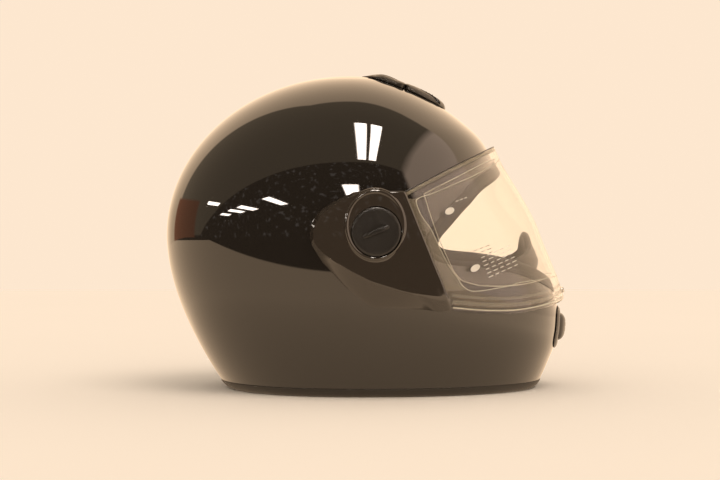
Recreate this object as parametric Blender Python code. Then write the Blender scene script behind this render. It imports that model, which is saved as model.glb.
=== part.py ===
"""Full-face motorcycle helmet as separate sub-parts.

Lengths below are millimetres and are scaled to metres when an object is made. The front faces +X,
the top +Z and the wearer's left +Y. The flat underside of the base trim lies in the plane z = 0.
"""
import math

import bmesh
import bpy
import numpy as np

MM = 0.001
GAP = 0.4

# Shell: one profile in the middle plane, one half width, and a superellipse for each level ring.
TOP_X = -14.0
TOP_Z = 252.7
WIDEST_Z = 123.0
HALF_WIDTH = 117.0
RING_POWER = 2.1
FRONT_KNOTS = ((0, 138.5), (11, 144), (22, 148.8), (32, 153), (45, 156.5), (58, 157), (72, 154),
               (86, 149.8), (100, 144.5), (115, 138.8), (131.6, 132.6), (148, 123.8),
               (164.5, 113.8), (179, 105.2), (187, 101.6), (194, 97.8), (201.5, 92.6), (210, 84.2))
SHELL_WALL = 3.5
SHELL_FOOT_Z = 4.6

# Eye port: its edge in side view, from the top centre round the rear corner to the bottom centre.
PORT_TOP_Z = 176.6
PORT_BOTTOM_Z = 83.9
PORT_SIDE = ((92, 163), (74, 146), (58, 128.5), (51, 118.5), (53.5, 112), (64, 108.5),
             (86.4, 106.3), (113.4, 101.3))
PORT_APEX = (25.0, 0.0, 128.0)
PORT_STATIONS = 60

# Visor and its hinge.
PIVOT_X = -3.7
PIVOT_Z = 134.0
VISOR_STANDOFF = 3.4
VISOR_WALL = 2.2
EAR_RADIUS = 15.0
HUB_RADIUS = 6.8

# Side covers, each seen from its own side.
COVER_OUTLINE = ((26.3, 153.8), (62.3, 67.1), (40, 67.6), (20, 68.6), (3.5, 69.3), (-6.8, 76.7),
                 (-16.3, 84.8), (-23.7, 92.8), (-33.2, 103.1), (-41.4, 116), (-42.8, 123),
                 (-41.5, 131.5), (-36.2, 139.9), (-27, 146.5), (-16.3, 152.4), (-4, 153.8))
COVER_FACET = ((25.6, 152.6), (58.5, 74.2), (40, 78.3), (24.1, 82.5), (2, 89.9), (-12, 97),
               (-23.7, 104.1), (-33, 111.6), (-37.6, 117.5), (-38.8, 123), (-37.4, 130),
               (-32.6, 137.4), (-25, 143.2), (-15.3, 148.6), (-4, 152.6))
BOSS_X = 8.7
BOSS_Z = 130.3
BOSS_RADIUS = 25.0
COVER_LOW = 8.2
COVER_TOP = 10.4
BOSS_TOP = 11.4
KNOB_X = 6.2
KNOB_Z = 125.2
KNOB_RADIUS = 18.4
KNOB_BAR_TILT = math.radians(23)
DOME_RADIUS = 140.0

RIGHT = -1
LEFT = 1


# Materials

def material(name, color, roughness, metallic=0.0, transmission=0.0):
    made = bpy.data.materials.new(name)
    made.use_nodes = True
    shader = made.node_tree.nodes["Principled BSDF"]
    shader.inputs["Base Color"].default_value = (*color, 1.0)
    shader.inputs["Roughness"].default_value = roughness
    shader.inputs["Metallic"].default_value = metallic
    shader.inputs["Transmission Weight"].default_value = transmission
    made.diffuse_color = (*color, 1.0)
    return made


# Shell surface

def smooth(t):
    t = np.clip(t, 0.0, 1.0)
    return t * t * (3.0 - 2.0 * t)


def through_knots(knots, at):
    """A cubic curve through the knots, each a pair of position and value."""
    places, values = np.array(knots, float).T
    slopes = np.gradient(values, places)
    at = np.clip(at, places[0], places[-1])
    i = np.clip(np.searchsorted(places, at) - 1, 0, len(places) - 2)
    span = places[i + 1] - places[i]
    t = (at - places[i]) / span
    start = (2 * t**3 - 3 * t**2 + 1) * values[i] + (t**3 - 2 * t**2 + t) * span * slopes[i]
    end = (3 * t**2 - 2 * t**3) * values[i + 1] + (t**3 - t**2) * span * slopes[i + 1]
    return start + end


def rise(z):
    return np.clip((z - WIDEST_Z) / (TOP_Z - WIDEST_Z), 0.0, 1.0)


def fall(z):
    return np.clip((WIDEST_Z - z) / WIDEST_Z, -0.1, 1.0)


def front_x(z):
    u = rise(z)
    power = 1.75 + 0.25 * smooth((u - 0.93) / 0.07)
    brow = TOP_X + 145.0 * (1.0 - u**power) ** (1.0 / power)
    return np.where(z > 210.0, brow, through_knots(FRONT_KNOTS, z))


def back_x(z):
    nape = -163.3 + 49.0 * np.clip(fall(z), 0.0, 1.0) ** 1.78
    return np.where(z > WIDEST_Z, TOP_X - 149.3 * np.sqrt(1.0 - rise(z) ** 2), nape)


def half_width(z):
    crown = HALF_WIDTH * (1.0 - rise(z) ** 2.2) ** (1.0 / 2.2)
    return np.where(z > WIDEST_Z, crown, HALF_WIDTH - 24.0 * np.clip(fall(z), 0.0, 1.0) ** 2)


def middle_x(z):
    return -4.0 - 10.0 * rise(z) ** 2


def reach(z, forward):
    return np.where(forward, front_x(z) - middle_x(z), middle_x(z) - back_x(z))


def ring(turn, z):
    """The point of the level ring at height z that lies at this turn from the front."""
    c = np.cos(turn)
    s = np.sin(turn)
    e = 2.0 / RING_POWER
    x = middle_x(z) + reach(z, c >= 0) * np.sign(c) * np.abs(c) ** e
    y = half_width(z) * np.sign(s) * np.abs(s) ** e
    return np.stack([x, y, z + 0.0 * turn], -1)


def normal(turn, z):
    step = 1e-3
    high = np.minimum(z + 0.05, TOP_Z - 1e-6)
    across = ring(turn + step, z) - ring(turn - step, z)
    up = ring(turn, high) - ring(turn, high - 0.1)
    n = np.cross(across, up)
    return n / np.linalg.norm(n, axis=-1, keepdims=True)


def shell_at(turn, z, off=0.0):
    """A point this far outside the shell's outer surface."""
    turn, z, off = np.broadcast_arrays(np.asarray(turn, float), np.asarray(z, float), off)
    return ring(turn, z) + off[..., None] * normal(turn, z)


def turn_at(x, y, z):
    """The turn of the surface point nearest a point that lies close to the surface."""
    along = (x - middle_x(z)) / reach(z, x >= middle_x(z))
    aside = y / half_width(z)
    c = np.sign(along) * np.abs(along) ** (RING_POWER / 2.0)
    s = np.sign(aside) * np.abs(aside) ** (RING_POWER / 2.0)
    return np.arctan2(s, c)


def turn_on_side(x, z):
    along = np.clip((x - middle_x(z)) / reach(z, x >= middle_x(z)), -1.0, 1.0)
    return np.arccos(np.sign(along) * np.abs(along) ** (RING_POWER / 2.0))


def side_at(side):
    """A map from side-view x, z and a height above the surface to a point on one side."""
    def place(x, z, h):
        return shell_at(side * turn_on_side(x, z), z, h)
    return place


def front_at(y, z, h):
    aside = np.clip(np.abs(y) / half_width(z), 0.0, 1.0)
    turn = np.arcsin(aside ** (RING_POWER / 2.0)) * np.sign(y)
    return shell_at(turn, z, h)


def top_z(x, y):
    low = np.full(np.shape(x + 0.0 * y), WIDEST_Z)
    high = np.full(np.shape(low), TOP_Z - 1e-4)
    for _ in range(40):
        z = 0.5 * (low + high)
        along = np.abs(x - middle_x(z)) / reach(z, x >= middle_x(z))
        inside = along**RING_POWER + np.abs(y / half_width(z)) ** RING_POWER < 1.0
        low = np.where(inside, z, low)
        high = np.where(inside, high, z)
    return low


def top_at(x, y, h):
    """A point above the crown, from its plan position."""
    step = 0.5
    z = top_z(x, y)
    dx = (top_z(x + step, y) - top_z(x - step, y)) / (2 * step)
    dy = (top_z(x, y + step) - top_z(x, y - step)) / (2 * step)
    n = np.stack([-dx, -dy, np.ones_like(z)], -1)
    n /= np.linalg.norm(n, axis=-1, keepdims=True)
    return np.stack([x + 0.0 * z, y + 0.0 * z, z], -1) + np.asarray(h)[..., None] * n


# Bodies

def make(name, points, faces, look, origin=(0.0, 0.0, 0.0)):
    """A closed mesh object whose own origin lies at the given place."""
    origin = np.array(origin, float)
    points = (np.array(points, float).reshape(-1, 3) - origin) * MM
    mesh = bpy.data.meshes.new(name)
    mesh.from_pydata(points.tolist(), [], [tuple(int(i) for i in face) for face in faces])
    built = bmesh.new()
    built.from_mesh(mesh)
    bmesh.ops.recalc_face_normals(built, faces=built.faces)
    built.to_mesh(mesh)
    built.free()
    mesh.materials.append(look)
    made = bpy.data.objects.new(name, mesh)
    made.location = (origin * MM).tolist()
    bpy.context.scene.collection.objects.link(made)
    return made


def cutter(name, points, faces):
    made = make(name, points, faces, bpy.data.materials["shell_black"])
    made.hide_render = True
    made.display_type = "WIRE"
    return made


def combine(target, other, operation="DIFFERENCE"):
    change = target.modifiers.new(other.name, "BOOLEAN")
    change.operation = operation
    change.solver = "EXACT"
    change.object = other


def between(outer, inner, wrap=False):
    """Points and faces of the solid between two grids of the same shape."""
    rows, columns = outer.shape[:2]
    points = np.concatenate([outer.reshape(-1, 3), inner.reshape(-1, 3)])
    behind = rows * columns
    faces = []
    last = rows if wrap else rows - 1
    for i in range(last):
        k = (i + 1) % rows
        for j in range(columns - 1):
            a, b = i * columns + j, i * columns + j + 1
            c, d = k * columns + j + 1, k * columns + j
            faces.append((a, b, c, d))
            faces.append((behind + d, behind + c, behind + b, behind + a))
        for j in (0, columns - 1):
            a, d = i * columns + j, k * columns + j
            faces.append((a, d, behind + d, behind + a))
    if not wrap:
        for i in (0, rows - 1):
            for j in range(columns - 1):
                a, b = i * columns + j, i * columns + j + 1
                faces.append((a, b, behind + b, behind + a))
    return points, faces


def dome(offset_out, offset_in, foot_out, foot_in, turns, levels):
    """A cap of the shell's shape between two offsets, open below, with a point at the top."""
    around = np.linspace(0, 2 * math.pi, turns, endpoint=False)
    grids = []
    for offset, foot in ((offset_out, foot_out), (offset_in, foot_in)):
        low = np.linspace(foot, WIDEST_Z, max(2, round(levels * 0.4)), endpoint=False)
        lift = np.linspace(0, math.radians(80), levels - len(low))
        z = np.concatenate([low, WIDEST_Z + (TOP_Z - WIDEST_Z) * np.sin(lift)])
        grids.append(shell_at(around[:, None], z[None, :], offset))
    points, faces = between(grids[0], grids[1], wrap=True)
    faces = [face for face in faces if not is_top_strip(face, levels, turns)]
    tops = [(TOP_X, 0, TOP_Z + offset_out), (TOP_X, 0, TOP_Z + offset_in)]
    points = np.concatenate([points, tops])
    count = 2 * turns * levels
    for layer in (0, 1):
        for i in range(turns):
            a = layer * turns * levels + i * levels + levels - 1
            b = layer * turns * levels + ((i + 1) % turns) * levels + levels - 1
            faces.append((a, b, count + layer))
    return points, faces


def is_top_strip(face, levels, turns):
    """Whether a face joins the two layers along the top ring, where the caps go instead."""
    count = turns * levels
    at_top = all((i % count) % levels == levels - 1 for i in face)
    return at_top and min(face) < count <= max(face)


def along_path(sections, closed):
    """A swept body from a row of profile loops."""
    sections = np.array(sections, float)
    stations, corners = sections.shape[:2]
    faces = []
    for i in range(stations if closed else stations - 1):
        k = (i + 1) % stations
        for j in range(corners):
            m = (j + 1) % corners
            faces.append((i * corners + j, i * corners + m, k * corners + m, k * corners + j))
    if not closed:
        faces.append(tuple(range(corners)))
        faces.append(tuple((stations - 1) * corners + j for j in range(corners)))
    return sections.reshape(-1, 3), faces


def reach_of_outline(outline, center, angles):
    """How far a ray at each angle goes from the centre to the outline."""
    outline = np.array(outline, float) - np.array(center, float)
    found = []
    for angle in angles:
        ray = np.array([math.cos(angle), math.sin(angle)])
        best = 0.0
        for p, q in zip(outline, np.roll(outline, -1, axis=0)):
            edge = q - p
            cross = ray[0] * edge[1] - ray[1] * edge[0]
            if abs(cross) < 1e-9:
                continue
            t = (p[0] * edge[1] - p[1] * edge[0]) / cross
            s = (p[0] * ray[1] - p[1] * ray[0]) / cross
            if t > 0 and -1e-9 <= s <= 1 + 1e-9:
                best = max(best, t)
        found.append(best)
    return np.array(found)


def plate(center, angles, radii, tops, lows, place):
    """A plate on the surface: rings about a centre, each with its own heights above and below."""
    radii = np.array([np.broadcast_to(r, angles.shape) for r in radii])
    tops = np.array([np.broadcast_to(h, angles.shape) for h in tops])
    lows = np.array([np.broadcast_to(h, angles.shape) for h in lows])
    u = center[0] + radii * np.cos(angles)
    v = center[1] + radii * np.sin(angles)
    rings, count = radii.shape
    mid_u, mid_v = np.array([center[0]]), np.array([center[1]])
    points = [place(u, v, tops).reshape(-1, 3), place(u, v, lows).reshape(-1, 3),
              place(mid_u, mid_v, tops[0, :1]), place(mid_u, mid_v, lows[0, :1])]
    faces = []
    under = rings * count
    for j in range(count):
        k = (j + 1) % count
        for i in range(rings - 1):
            a, b = i * count + j, i * count + k
            c, d = (i + 1) * count + k, (i + 1) * count + j
            faces.append((a, b, c, d))
            faces.append((under + d, under + c, under + b, under + a))
        faces.append((j, k, 2 * under))
        faces.append((under + j, under + k, 2 * under + 1))
        edge = (rings - 1) * count
        faces.append((edge + j, edge + k, under + edge + k, under + edge + j))
    return np.concatenate(points), faces


def around(count):
    return np.linspace(0, 2 * math.pi, count, endpoint=False) + math.pi / count


def disc(center, radius, top, low, place, count=20):
    return plate(center, around(count), [radius * 0.6, radius], [top, top], [low, low], place)


def box(low, high, axes=None, center=(0.0, 0.0, 0.0)):
    """A box, in the given frame when one is given."""
    axes = np.eye(3) if axes is None else np.array(axes, float)
    points = []
    for x in (low[0], high[0]):
        for y in (low[1], high[1]):
            for z in (low[2], high[2]):
                points.append(np.array([x, y, z]) @ axes + np.array(center))
    faces = [(0, 1, 3, 2), (4, 6, 7, 5), (0, 4, 5, 1), (2, 3, 7, 6), (0, 2, 6, 4), (1, 5, 7, 3)]
    return points, faces


def rod(center, radius, start, end, axes=None, count=24):
    """A cylinder along the second axis of its frame, by default along Y."""
    axes = np.eye(3) if axes is None else np.array(axes, float)
    angles = around(count)
    sections = []
    for y in (start, end):
        flat = [(radius * math.cos(a), y, radius * math.sin(a)) for a in angles]
        sections.append(np.array(flat) @ axes + np.array(center))
    return along_path(sections, closed=False)


def side_prism(outline):
    """A prism along Y with this side-view outline, wide enough to cut through everything."""
    sections = [[(x, y, z) for x, z in outline] for y in (-200.0, 200.0)]
    return along_path(sections, closed=False)


# Eye port

def port_loop():
    """The eye port's edge as turns and heights, closed and evenly spaced."""
    side = [(float(turn_on_side(np.array(x), np.array(z))), z) for x, z in PORT_SIDE]
    knots = [(0.0, PORT_TOP_Z)] + side + [(0.0, PORT_BOTTOM_Z)]
    knots += [(-turn, z) for turn, z in reversed(side)]
    knots = np.array(knots, float)
    loop = []
    for i in range(len(knots)):
        p0, p1, p2, p3 = (knots[(i + k) % len(knots)] for k in (-1, 0, 1, 2))
        for t in np.arange(12) / 12.0:
            bend = 2 * p0 - 5 * p1 + 4 * p2 - p3
            loop.append(p1 + 0.5 * t * (p2 - p0 + t * (bend + t * (3 * (p1 - p2) + p3 - p0))))
    loop = np.array(loop + loop[:1])
    edge = shell_at(loop[:, 0], loop[:, 1])
    steps = np.linalg.norm(np.diff(edge, axis=0), axis=1)
    along = np.concatenate([[0.0], np.cumsum(steps)])
    even = np.linspace(0.0, along[-1], PORT_STATIONS, endpoint=False)
    return np.stack([np.interp(even, along, loop[:, i]) for i in (0, 1)], -1)


def port_sections(profile):
    """The profile, pairs of a distance into the opening and a height, at each place of the port."""
    loop = port_loop()
    edge = shell_at(loop[:, 0], loop[:, 1])
    ahead = np.roll(edge, -1, axis=0) - np.roll(edge, 1, axis=0)
    ahead /= np.linalg.norm(ahead, axis=1, keepdims=True)
    out = normal(loop[:, 0], loop[:, 1])
    inward = np.cross(out, ahead)
    to_middle = np.array([PORT_APEX]) + np.array([[80.0, 0.0, 0.0]]) - edge
    inward *= np.sign((inward * to_middle).sum(axis=1, keepdims=True))
    sections = []
    for into, height in profile:
        moved = edge + into * inward
        turn = turn_at(moved[:, 0], moved[:, 1], moved[:, 2])
        base = shell_at(turn, moved[:, 2])
        radial = base - np.array([PORT_APEX])
        radial /= np.linalg.norm(radial, axis=1, keepdims=True)
        lift = radial if into > 0 else normal(turn, moved[:, 2])
        sections.append(base + height * lift)
    return np.array(sections).transpose(1, 0, 2)


def port_cone():
    """A cone that cuts the eye port square to the shell, with its point inside the helmet."""
    loop = port_loop()
    apex = np.array(PORT_APEX)
    far = apex + 1.4 * (shell_at(loop[:, 0], loop[:, 1]) - apex)
    points = np.concatenate([[apex, (260.0, 0.0, 120.0)], far])
    faces = []
    for i in range(len(far)):
        k = (i + 1) % len(far)
        faces.append((0, 2 + i, 2 + k))
        faces.append((1, 2 + k, 2 + i))
    return points, faces


# Shell and what lines it

def add_shell(looks):
    points, faces = dome(0.0, -SHELL_WALL, SHELL_FOOT_Z, SHELL_FOOT_Z, 40, 18)
    shell = make("outer_shell", points, faces, looks["gloss"])
    combine(shell, cutter("cut_port", *port_cone()))
    slot = cutter("cut_chin_slot", *box((118, -15, 45), (175, 15, 54)))
    combine(shell, slot)
    for side, name in ((RIGHT, "cut_top_hole_right"), (LEFT, "cut_top_hole_left")):
        frame = ((1, 0, 0), (0, 0, 1), (0, -1, 0))
        hole = rod((48, side * 17, 0), 3.5, 150, 270, frame, 12)
        combine(shell, cutter(name, *hole))


def add_impact_liner(looks):
    points, faces = dome(-4.9, -32.0, 46.0, 40.0, 28, 10)
    liner = make("impact_liner", points, faces, looks["foam"])
    front = ((44, -20), (44, 119), (106, 183.5), (230, 312), (230, -20))
    combine(liner, cutter("cut_liner_front", *side_prism(front)))
    for side, name in ((RIGHT, "cut_top_hole_right"), (LEFT, "cut_top_hole_left")):
        combine(liner, bpy.data.objects[name])


def add_crown_pad(looks):
    points, faces = dome(-34.4, -41.5, 121.0, 114.0, 24, 8)
    pad = make("crown_pad", points, faces, looks["fabric"])
    front = ((30, -20), (30, 121), (98, 190), (230, 326), (230, -20))
    combine(pad, cutter("cut_pad_front", *side_prism(front)))


def add_chin_liner(looks):
    turns = np.radians(np.linspace(-48, 48, 13))[:, None]
    heights = np.linspace(10.5, 61.0, 5)[None, :]
    points, faces = between(shell_at(turns, heights, -4.8), shell_at(turns, heights, -21.0))
    liner = make("chin_liner", points, faces, looks["foam"])
    combine(liner, bpy.data.objects["cut_chin_slot"])


def add_cheek_blocks(looks):
    for side, name in ((RIGHT, "cheek_block_right"), (LEFT, "cheek_block_left")):
        turns = side * np.radians(np.linspace(52, 114, 7))[:, None]
        heights = np.linspace(10.5, 36.0, 3)[None, :]
        points, faces = between(shell_at(turns, heights, -5.2), shell_at(turns, heights, -31.5))
        make(name, points, faces, looks["foam"])


def add_cheek_pads(looks):
    for side, name in ((RIGHT, "cheek_pad_right"), (LEFT, "cheek_pad_left")):
        u = np.linspace(-1, 1, 9)[:, None]
        v = np.linspace(-1, 1, 7)[None, :]
        turns = side * np.radians(86 + 29 * u) + 0.0 * v
        heights = 58.0 + 42.0 * v - 6.0 * u + 0.0 * u
        swell = (1 - u**4) * (1 - v**4)
        points, faces = between(shell_at(turns, heights, -37.5 + 0.0 * swell),
                                shell_at(turns, heights, -44.0 - 14.0 * swell))
        make(name, points, faces, looks["fabric"])


def add_neck_roll(looks):
    turns = np.radians(np.linspace(122, 238, 15))
    angles = around(8)
    sections = []
    for turn in turns:
        height = 23.0 + 13.0 * np.sin(angles)
        off = -17.5 + 11.5 * np.cos(angles)
        sections.append(shell_at(turn, height, off))
    make("neck_roll", *along_path(sections, closed=False), looks["fabric"])


def add_base_trim(looks):
    profile = ((0.45, 9.0), (1.9, 9.0), (2.3, 1.0), (1.6, 0.0), (-6.4, 0.0), (-7.2, 0.9),
               (-7.0, 9.0), (-5.6, 9.0), (-5.4, 4.0), (0.45, 4.0))
    sections = []
    for turn in np.linspace(0, 2 * math.pi, 48, endpoint=False):
        across = ring(turn + 1e-3, np.array(5.0)) - ring(turn - 1e-3, np.array(5.0))
        out = np.array([across[1], -across[0], 0.0])
        out /= np.linalg.norm(out)
        sections.append([ring(np.array(turn), np.array(z)) + off * out for off, z in profile])
    make("base_trim", *along_path(sections, closed=True), looks["rubber"])


def add_port_seal(looks):
    profile = ((-8.0, 0.45), (-8.0, 1.1), (-5.0, 1.3), (1.0, 1.3), (2.4, 0.6), (2.4, -5.0),
               (0.6, -5.0), (0.6, 0.45))
    sections = port_sections(profile)
    make("eye_port_seal", *along_path(sections, closed=True), looks["rubber"])


def add_breath_guard(looks):
    y = np.linspace(-38, 38, 11)[:, None]
    v = np.linspace(0, 1, 6)[None, :]
    z = 62.0 + v * (66.0 - 0.024 * y**2)
    points, faces = between(front_at(y + 0.0 * v, z, -8.6), front_at(y + 0.0 * v, z, -11.0))
    make("breath_guard", points, faces, looks["rubber"])


# Vents

def superellipse(half_u, half_v, power, angles):
    """Radius of a rounded rectangle at each angle."""
    parts = np.abs(np.cos(angles) / half_u) ** power + np.abs(np.sin(angles) / half_v) ** power
    return parts ** (-1.0 / power)


def add_chin_vent(looks):
    angles = around(28)
    wide = superellipse(31.0, 17.0, 3.2, angles)
    points, faces = plate((0.0, 48.5), angles, [wide * 0.5, wide * 0.82, wide * 0.95, wide],
                          [2.8, 2.8, 2.2, 1.2], [0.5, 0.5, 0.5, 0.5], front_at)
    frame = make("chin_vent_frame", points, faces, looks["satin"])
    combine(frame, cutter("cut_flap_hole", *box((140, -22, 36.6), (190, 22, 61.4))))
    radius = superellipse(21.3, 11.2, 5.0, angles)
    hinge = front_at(np.array(0.0), np.array(39.0), 1.8)
    points, faces = plate((0.0, 49.0), angles, [radius * 0.45, radius * 0.8, radius],
                          [6.4, 5.4, 2.4], [0.9, 0.9, 0.9], front_at)
    make("chin_vent_flap", points, faces, looks["satin"], origin=hinge)


def add_top_vent(looks):
    angles = around(28)
    outline = ((64, 0), (62.5, 12), (58, 22), (50, 28.5), (40, 31), (33, 31), (31, 28), (30.2, 0),
               (31, -28), (33, -31), (40, -31), (50, -28.5), (58, -22), (62.5, -12))
    reach_out = reach_of_outline(outline, (46.0, 0.0), angles)
    points, faces = plate((46.0, 0.0), angles,
                          [reach_out * 0.4, reach_out * 0.72, reach_out * 0.9, reach_out],
                          [5.2, 4.9, 3.8, 1.6], [0.5, 0.5, 0.5, 0.5], top_at)
    housing = make("top_vent_housing", points, faces, looks["gloss"])
    frame, center = vent_frame()
    combine(housing, cutter("cut_slider_pocket", *box((-8.6, -9, 2.4), (8.6, 9, 9), frame, center)))
    body, faces = box((-1.6, -8.4, 2.8), (8.0, 8.4, 4.7), frame, center)
    slider = make("top_vent_slider", body, faces, looks["satin"], origin=center)
    for i, at in enumerate((0.0, 2.8, 5.6)):
        rib = box((at, -7.0, 4.3), (at + 1.2, 7.0, 5.5), frame, center)
        combine(slider, cutter(f"add_rib_{i}", *rib), "UNION")


def vent_frame():
    """Axes at the middle of the top vent: forward along the surface, left, and out."""
    place = np.array(46.0), np.array(0.0)
    base = top_at(*place, np.array(0.0))
    out = top_at(*place, np.array(1.0)) - base
    left = np.array([0.0, 1.0, 0.0])
    return (np.cross(left, out), left, out), base


def add_vent_fairing(looks):
    angles = around(28)
    outline = ((29.4, 0), (29.0, 27), (26, 31), (18, 30), (8, 24), (0, 14), (-3.5, 5), (-4, 0),
               (-3.5, -5), (0, -14), (8, -24), (18, -30), (26, -31), (29.0, -27))
    reach_out = reach_of_outline(outline, (16.0, 0.0), angles)
    tail = smooth((16.0 + reach_out * np.cos(angles) + 4.0) / 22.0)
    points, faces = plate((16.0, 0.0), angles,
                          [reach_out * 0.35, reach_out * 0.7, reach_out * 0.9, reach_out],
                          [4.9, 1.8 + 2.6 * tail, 1.4 + 2.2 * tail, 1.0 + 0.8 * tail],
                          [0.5, 0.5, 0.5, 0.5], top_at)
    make("top_vent_fairing", points, faces, looks["gloss"])


# Visor

def visor_top(x):
    crest = PIVOT_Z + np.sqrt(np.clip(EAR_RADIUS**2 - (x - PIVOT_X) ** 2, 0.0, None))
    neck = 149.5 + (x - 10.0) / 16.3 * 4.5
    return np.where(x > 26.3, 154.0 + (x - 26.3) * 0.535, np.where(x > 6.0, neck, np.maximum(
        crest, np.where(x > PIVOT_X, 149.0, 0.0))))


def visor_bottom(x):
    lip = through_knots(((62.9, 67.0), (85, 64.6), (110, 63.6), (135, 66.0), (160, 71.6)), x)
    back = 67.0 + (62.9 - x) / 54.9 * 50.0
    ear = PIVOT_Z - np.sqrt(np.clip(EAR_RADIUS**2 - (x - PIVOT_X) ** 2, 0.0, None))
    return np.where(x > 62.9, lip, np.where(x > 8.0, back, ear))


def visor_standoff(turn, z):
    return VISOR_STANDOFF + 1.2 * smooth((128.0 - z) / 50.0) * np.cos(turn) ** 2


def height_where(turn, limit):
    """The height at which the ring point of this turn meets a limit given as height over x."""
    low = np.full(np.shape(turn), 45.0)
    high = np.full(np.shape(turn), 215.0)
    for _ in range(40):
        z = 0.5 * (low + high)
        below = z < limit(ring(turn, z)[..., 0])
        low = np.where(below, z, low)
        high = np.where(below, high, z)
    return low


def visor_turns():
    """Turns of the visor's columns, from the ear of one side to the ear of the other."""
    marks = np.array([-18.3, -16.5, -12.5, -8.0, -3.7, 1.0, 6.2, 12.0, 19.0, 26.3, 35, 44, 54, 63])
    side = turn_on_side(marks, np.full(marks.shape, 125.0))
    front = np.linspace(side[-1], 0.0, 10)[1:]
    half = np.concatenate([side, front])
    return np.concatenate([half, -half[-2::-1]])


def visor_grid(rows):
    turns = visor_turns()
    top = height_where(turns, visor_top)
    bottom = height_where(turns, visor_bottom)
    share = np.linspace(0.0, 1.0, rows)
    z = bottom[:, None] + (top - bottom)[:, None] * share[None, :]
    return turns[:, None] + 0.0 * z, z


def add_visor(looks):
    turns, z = visor_grid(8)
    off = visor_standoff(turns, z)
    points, faces = between(shell_at(turns, z, off + VISOR_WALL), shell_at(turns, z, off))
    pivot = (PIVOT_X, 0.0, PIVOT_Z)
    visor = make("visor", points, faces, looks["clear"], origin=pivot)
    bore = rod(pivot, HUB_RADIUS + 0.6, -160, 160, count=20)
    combine(visor, cutter("cut_ear_holes", *bore))
    add_insert(looks, pivot)
    add_visor_tab(looks, pivot)


def add_insert(looks, pivot):
    u = np.linspace(-1, 1, 19)[:, None]
    share = np.linspace(-1, 1, 6)[None, :]
    turns = u * math.radians(69.0)
    top = height_where(turns[:, 0], visor_top)[:, None] - 9.0
    bottom = height_where(turns[:, 0], visor_bottom)[:, None] + 15.0
    round_off = (1.0 - 0.93 * np.abs(u) ** 10) ** 0.5
    middle = 0.5 * (top + bottom)
    z = middle + 0.5 * (top - bottom) * round_off * share
    turns = turns + 0.0 * z
    off = visor_standoff(turns, z)
    points, faces = between(shell_at(turns, z, off - 0.75), shell_at(turns, z, off - 1.35))
    make("antifog_insert", points, faces, looks["clear"], origin=pivot)
    for side, name in ((RIGHT, "insert_pin_right"), (LEFT, "insert_pin_left")):
        turn = side * math.radians(72.5)
        at = shell_at(turn, 124.0)
        place = side_at(side)
        center = (float(at[0]), 124.0)
        points, faces = disc(center, 2.6, VISOR_STANDOFF - 0.45, VISOR_STANDOFF - 1.5, place, 10)
        make(name, points, faces, looks["satin"], origin=pivot)


def add_visor_tab(looks, pivot):
    angles = around(16)
    radius = superellipse(10.0, 2.3, 4.0, angles)
    low = float(visor_standoff(0.0, np.array(76.0))) + VISOR_WALL + 0.35
    points, faces = plate((0.0, 76.4), angles, [radius * 0.6, radius],
                          [low + 1.9, low + 1.2], [low, low], front_at)
    make("visor_tab", points, faces, looks["clear"], origin=pivot)


# Hinge and side covers

def add_hinges(looks):
    for side, name in ((RIGHT, "right"), (LEFT, "left")):
        place = side_at(side)
        pivot = (PIVOT_X, PIVOT_Z)
        angles = around(24)
        ellipse = [(-6.0 + 22.0 * math.cos(a), 124.0 + 24.0 * math.sin(a)) for a in around(32)]
        edge = reach_of_outline(ellipse, pivot, angles)
        points, faces = plate(pivot, angles, [HUB_RADIUS - 0.3, HUB_RADIUS, edge * 0.6, edge],
                              [6.3, 1.8, 1.8, 1.8], [0.5, 0.5, 0.5, 0.5], place)
        make("hinge_plate_" + name, points, faces, looks["satin"])
        make("pivot_washer_" + name, *disc(pivot, 10.2, 7.5, 6.7, place), looks["steel"])
        for letter, x, z in (("a", -21.0, 118.0), ("b", -8.0, 105.0)):
            screw = disc((x, z), 3.2, 3.9, 2.15, place, 12)
            make(f"hinge_screw_{name}_{letter}", *screw, looks["steel"])


def add_covers(looks):
    for side, name in ((RIGHT, "side_cover_right"), (LEFT, "side_cover_left")):
        center = (BOSS_X, BOSS_Z)
        angles = np.linspace(0, 2 * math.pi, 30, endpoint=False)
        outline = reach_of_outline(COVER_OUTLINE, center, angles)
        facet = np.minimum(reach_of_outline(COVER_FACET, center, angles), outline - 0.8)
        boss = np.minimum(BOSS_RADIUS, facet - 0.8)
        x = center[0] + outline * np.cos(angles)
        z = center[1] + outline * np.sin(angles)
        lifted = (x > 46.0) | ((z > 140.0) & (x > -12.0)) | (angles_face_front(x, z))
        low = np.where(lifted, COVER_LOW, 0.6)
        rim = np.where(lifted, COVER_TOP - 0.7, 1.8)
        radii = [boss * 0.5, boss * 0.9, boss, boss + 0.4 * (facet - boss),
                 boss + 0.75 * (facet - boss), facet, outline]
        tops = [BOSS_TOP, BOSS_TOP, COVER_TOP, COVER_TOP, COVER_TOP, COVER_TOP, rim]
        lows = [COVER_LOW] * 6 + [low]
        points, faces = plate(center, angles, radii, tops, lows, side_at(side))
        cover = make(name, points, faces, looks["smoked"])
        frame, middle = knob_frame(side)
        hole = rod(middle, KNOB_RADIUS + 0.7, -14.0, 10.0, frame, 32)
        combine(cover, cutter("cut_knob_hole_" + name, *hole))


def angles_face_front(x, z):
    """Whether an outline point lies on the straight front edge, which the visor passes under."""
    edge = 26.3 + (153.8 - z) / 86.7 * 36.0
    return (x > edge - 1.0) & (z > 60.0)


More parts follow.
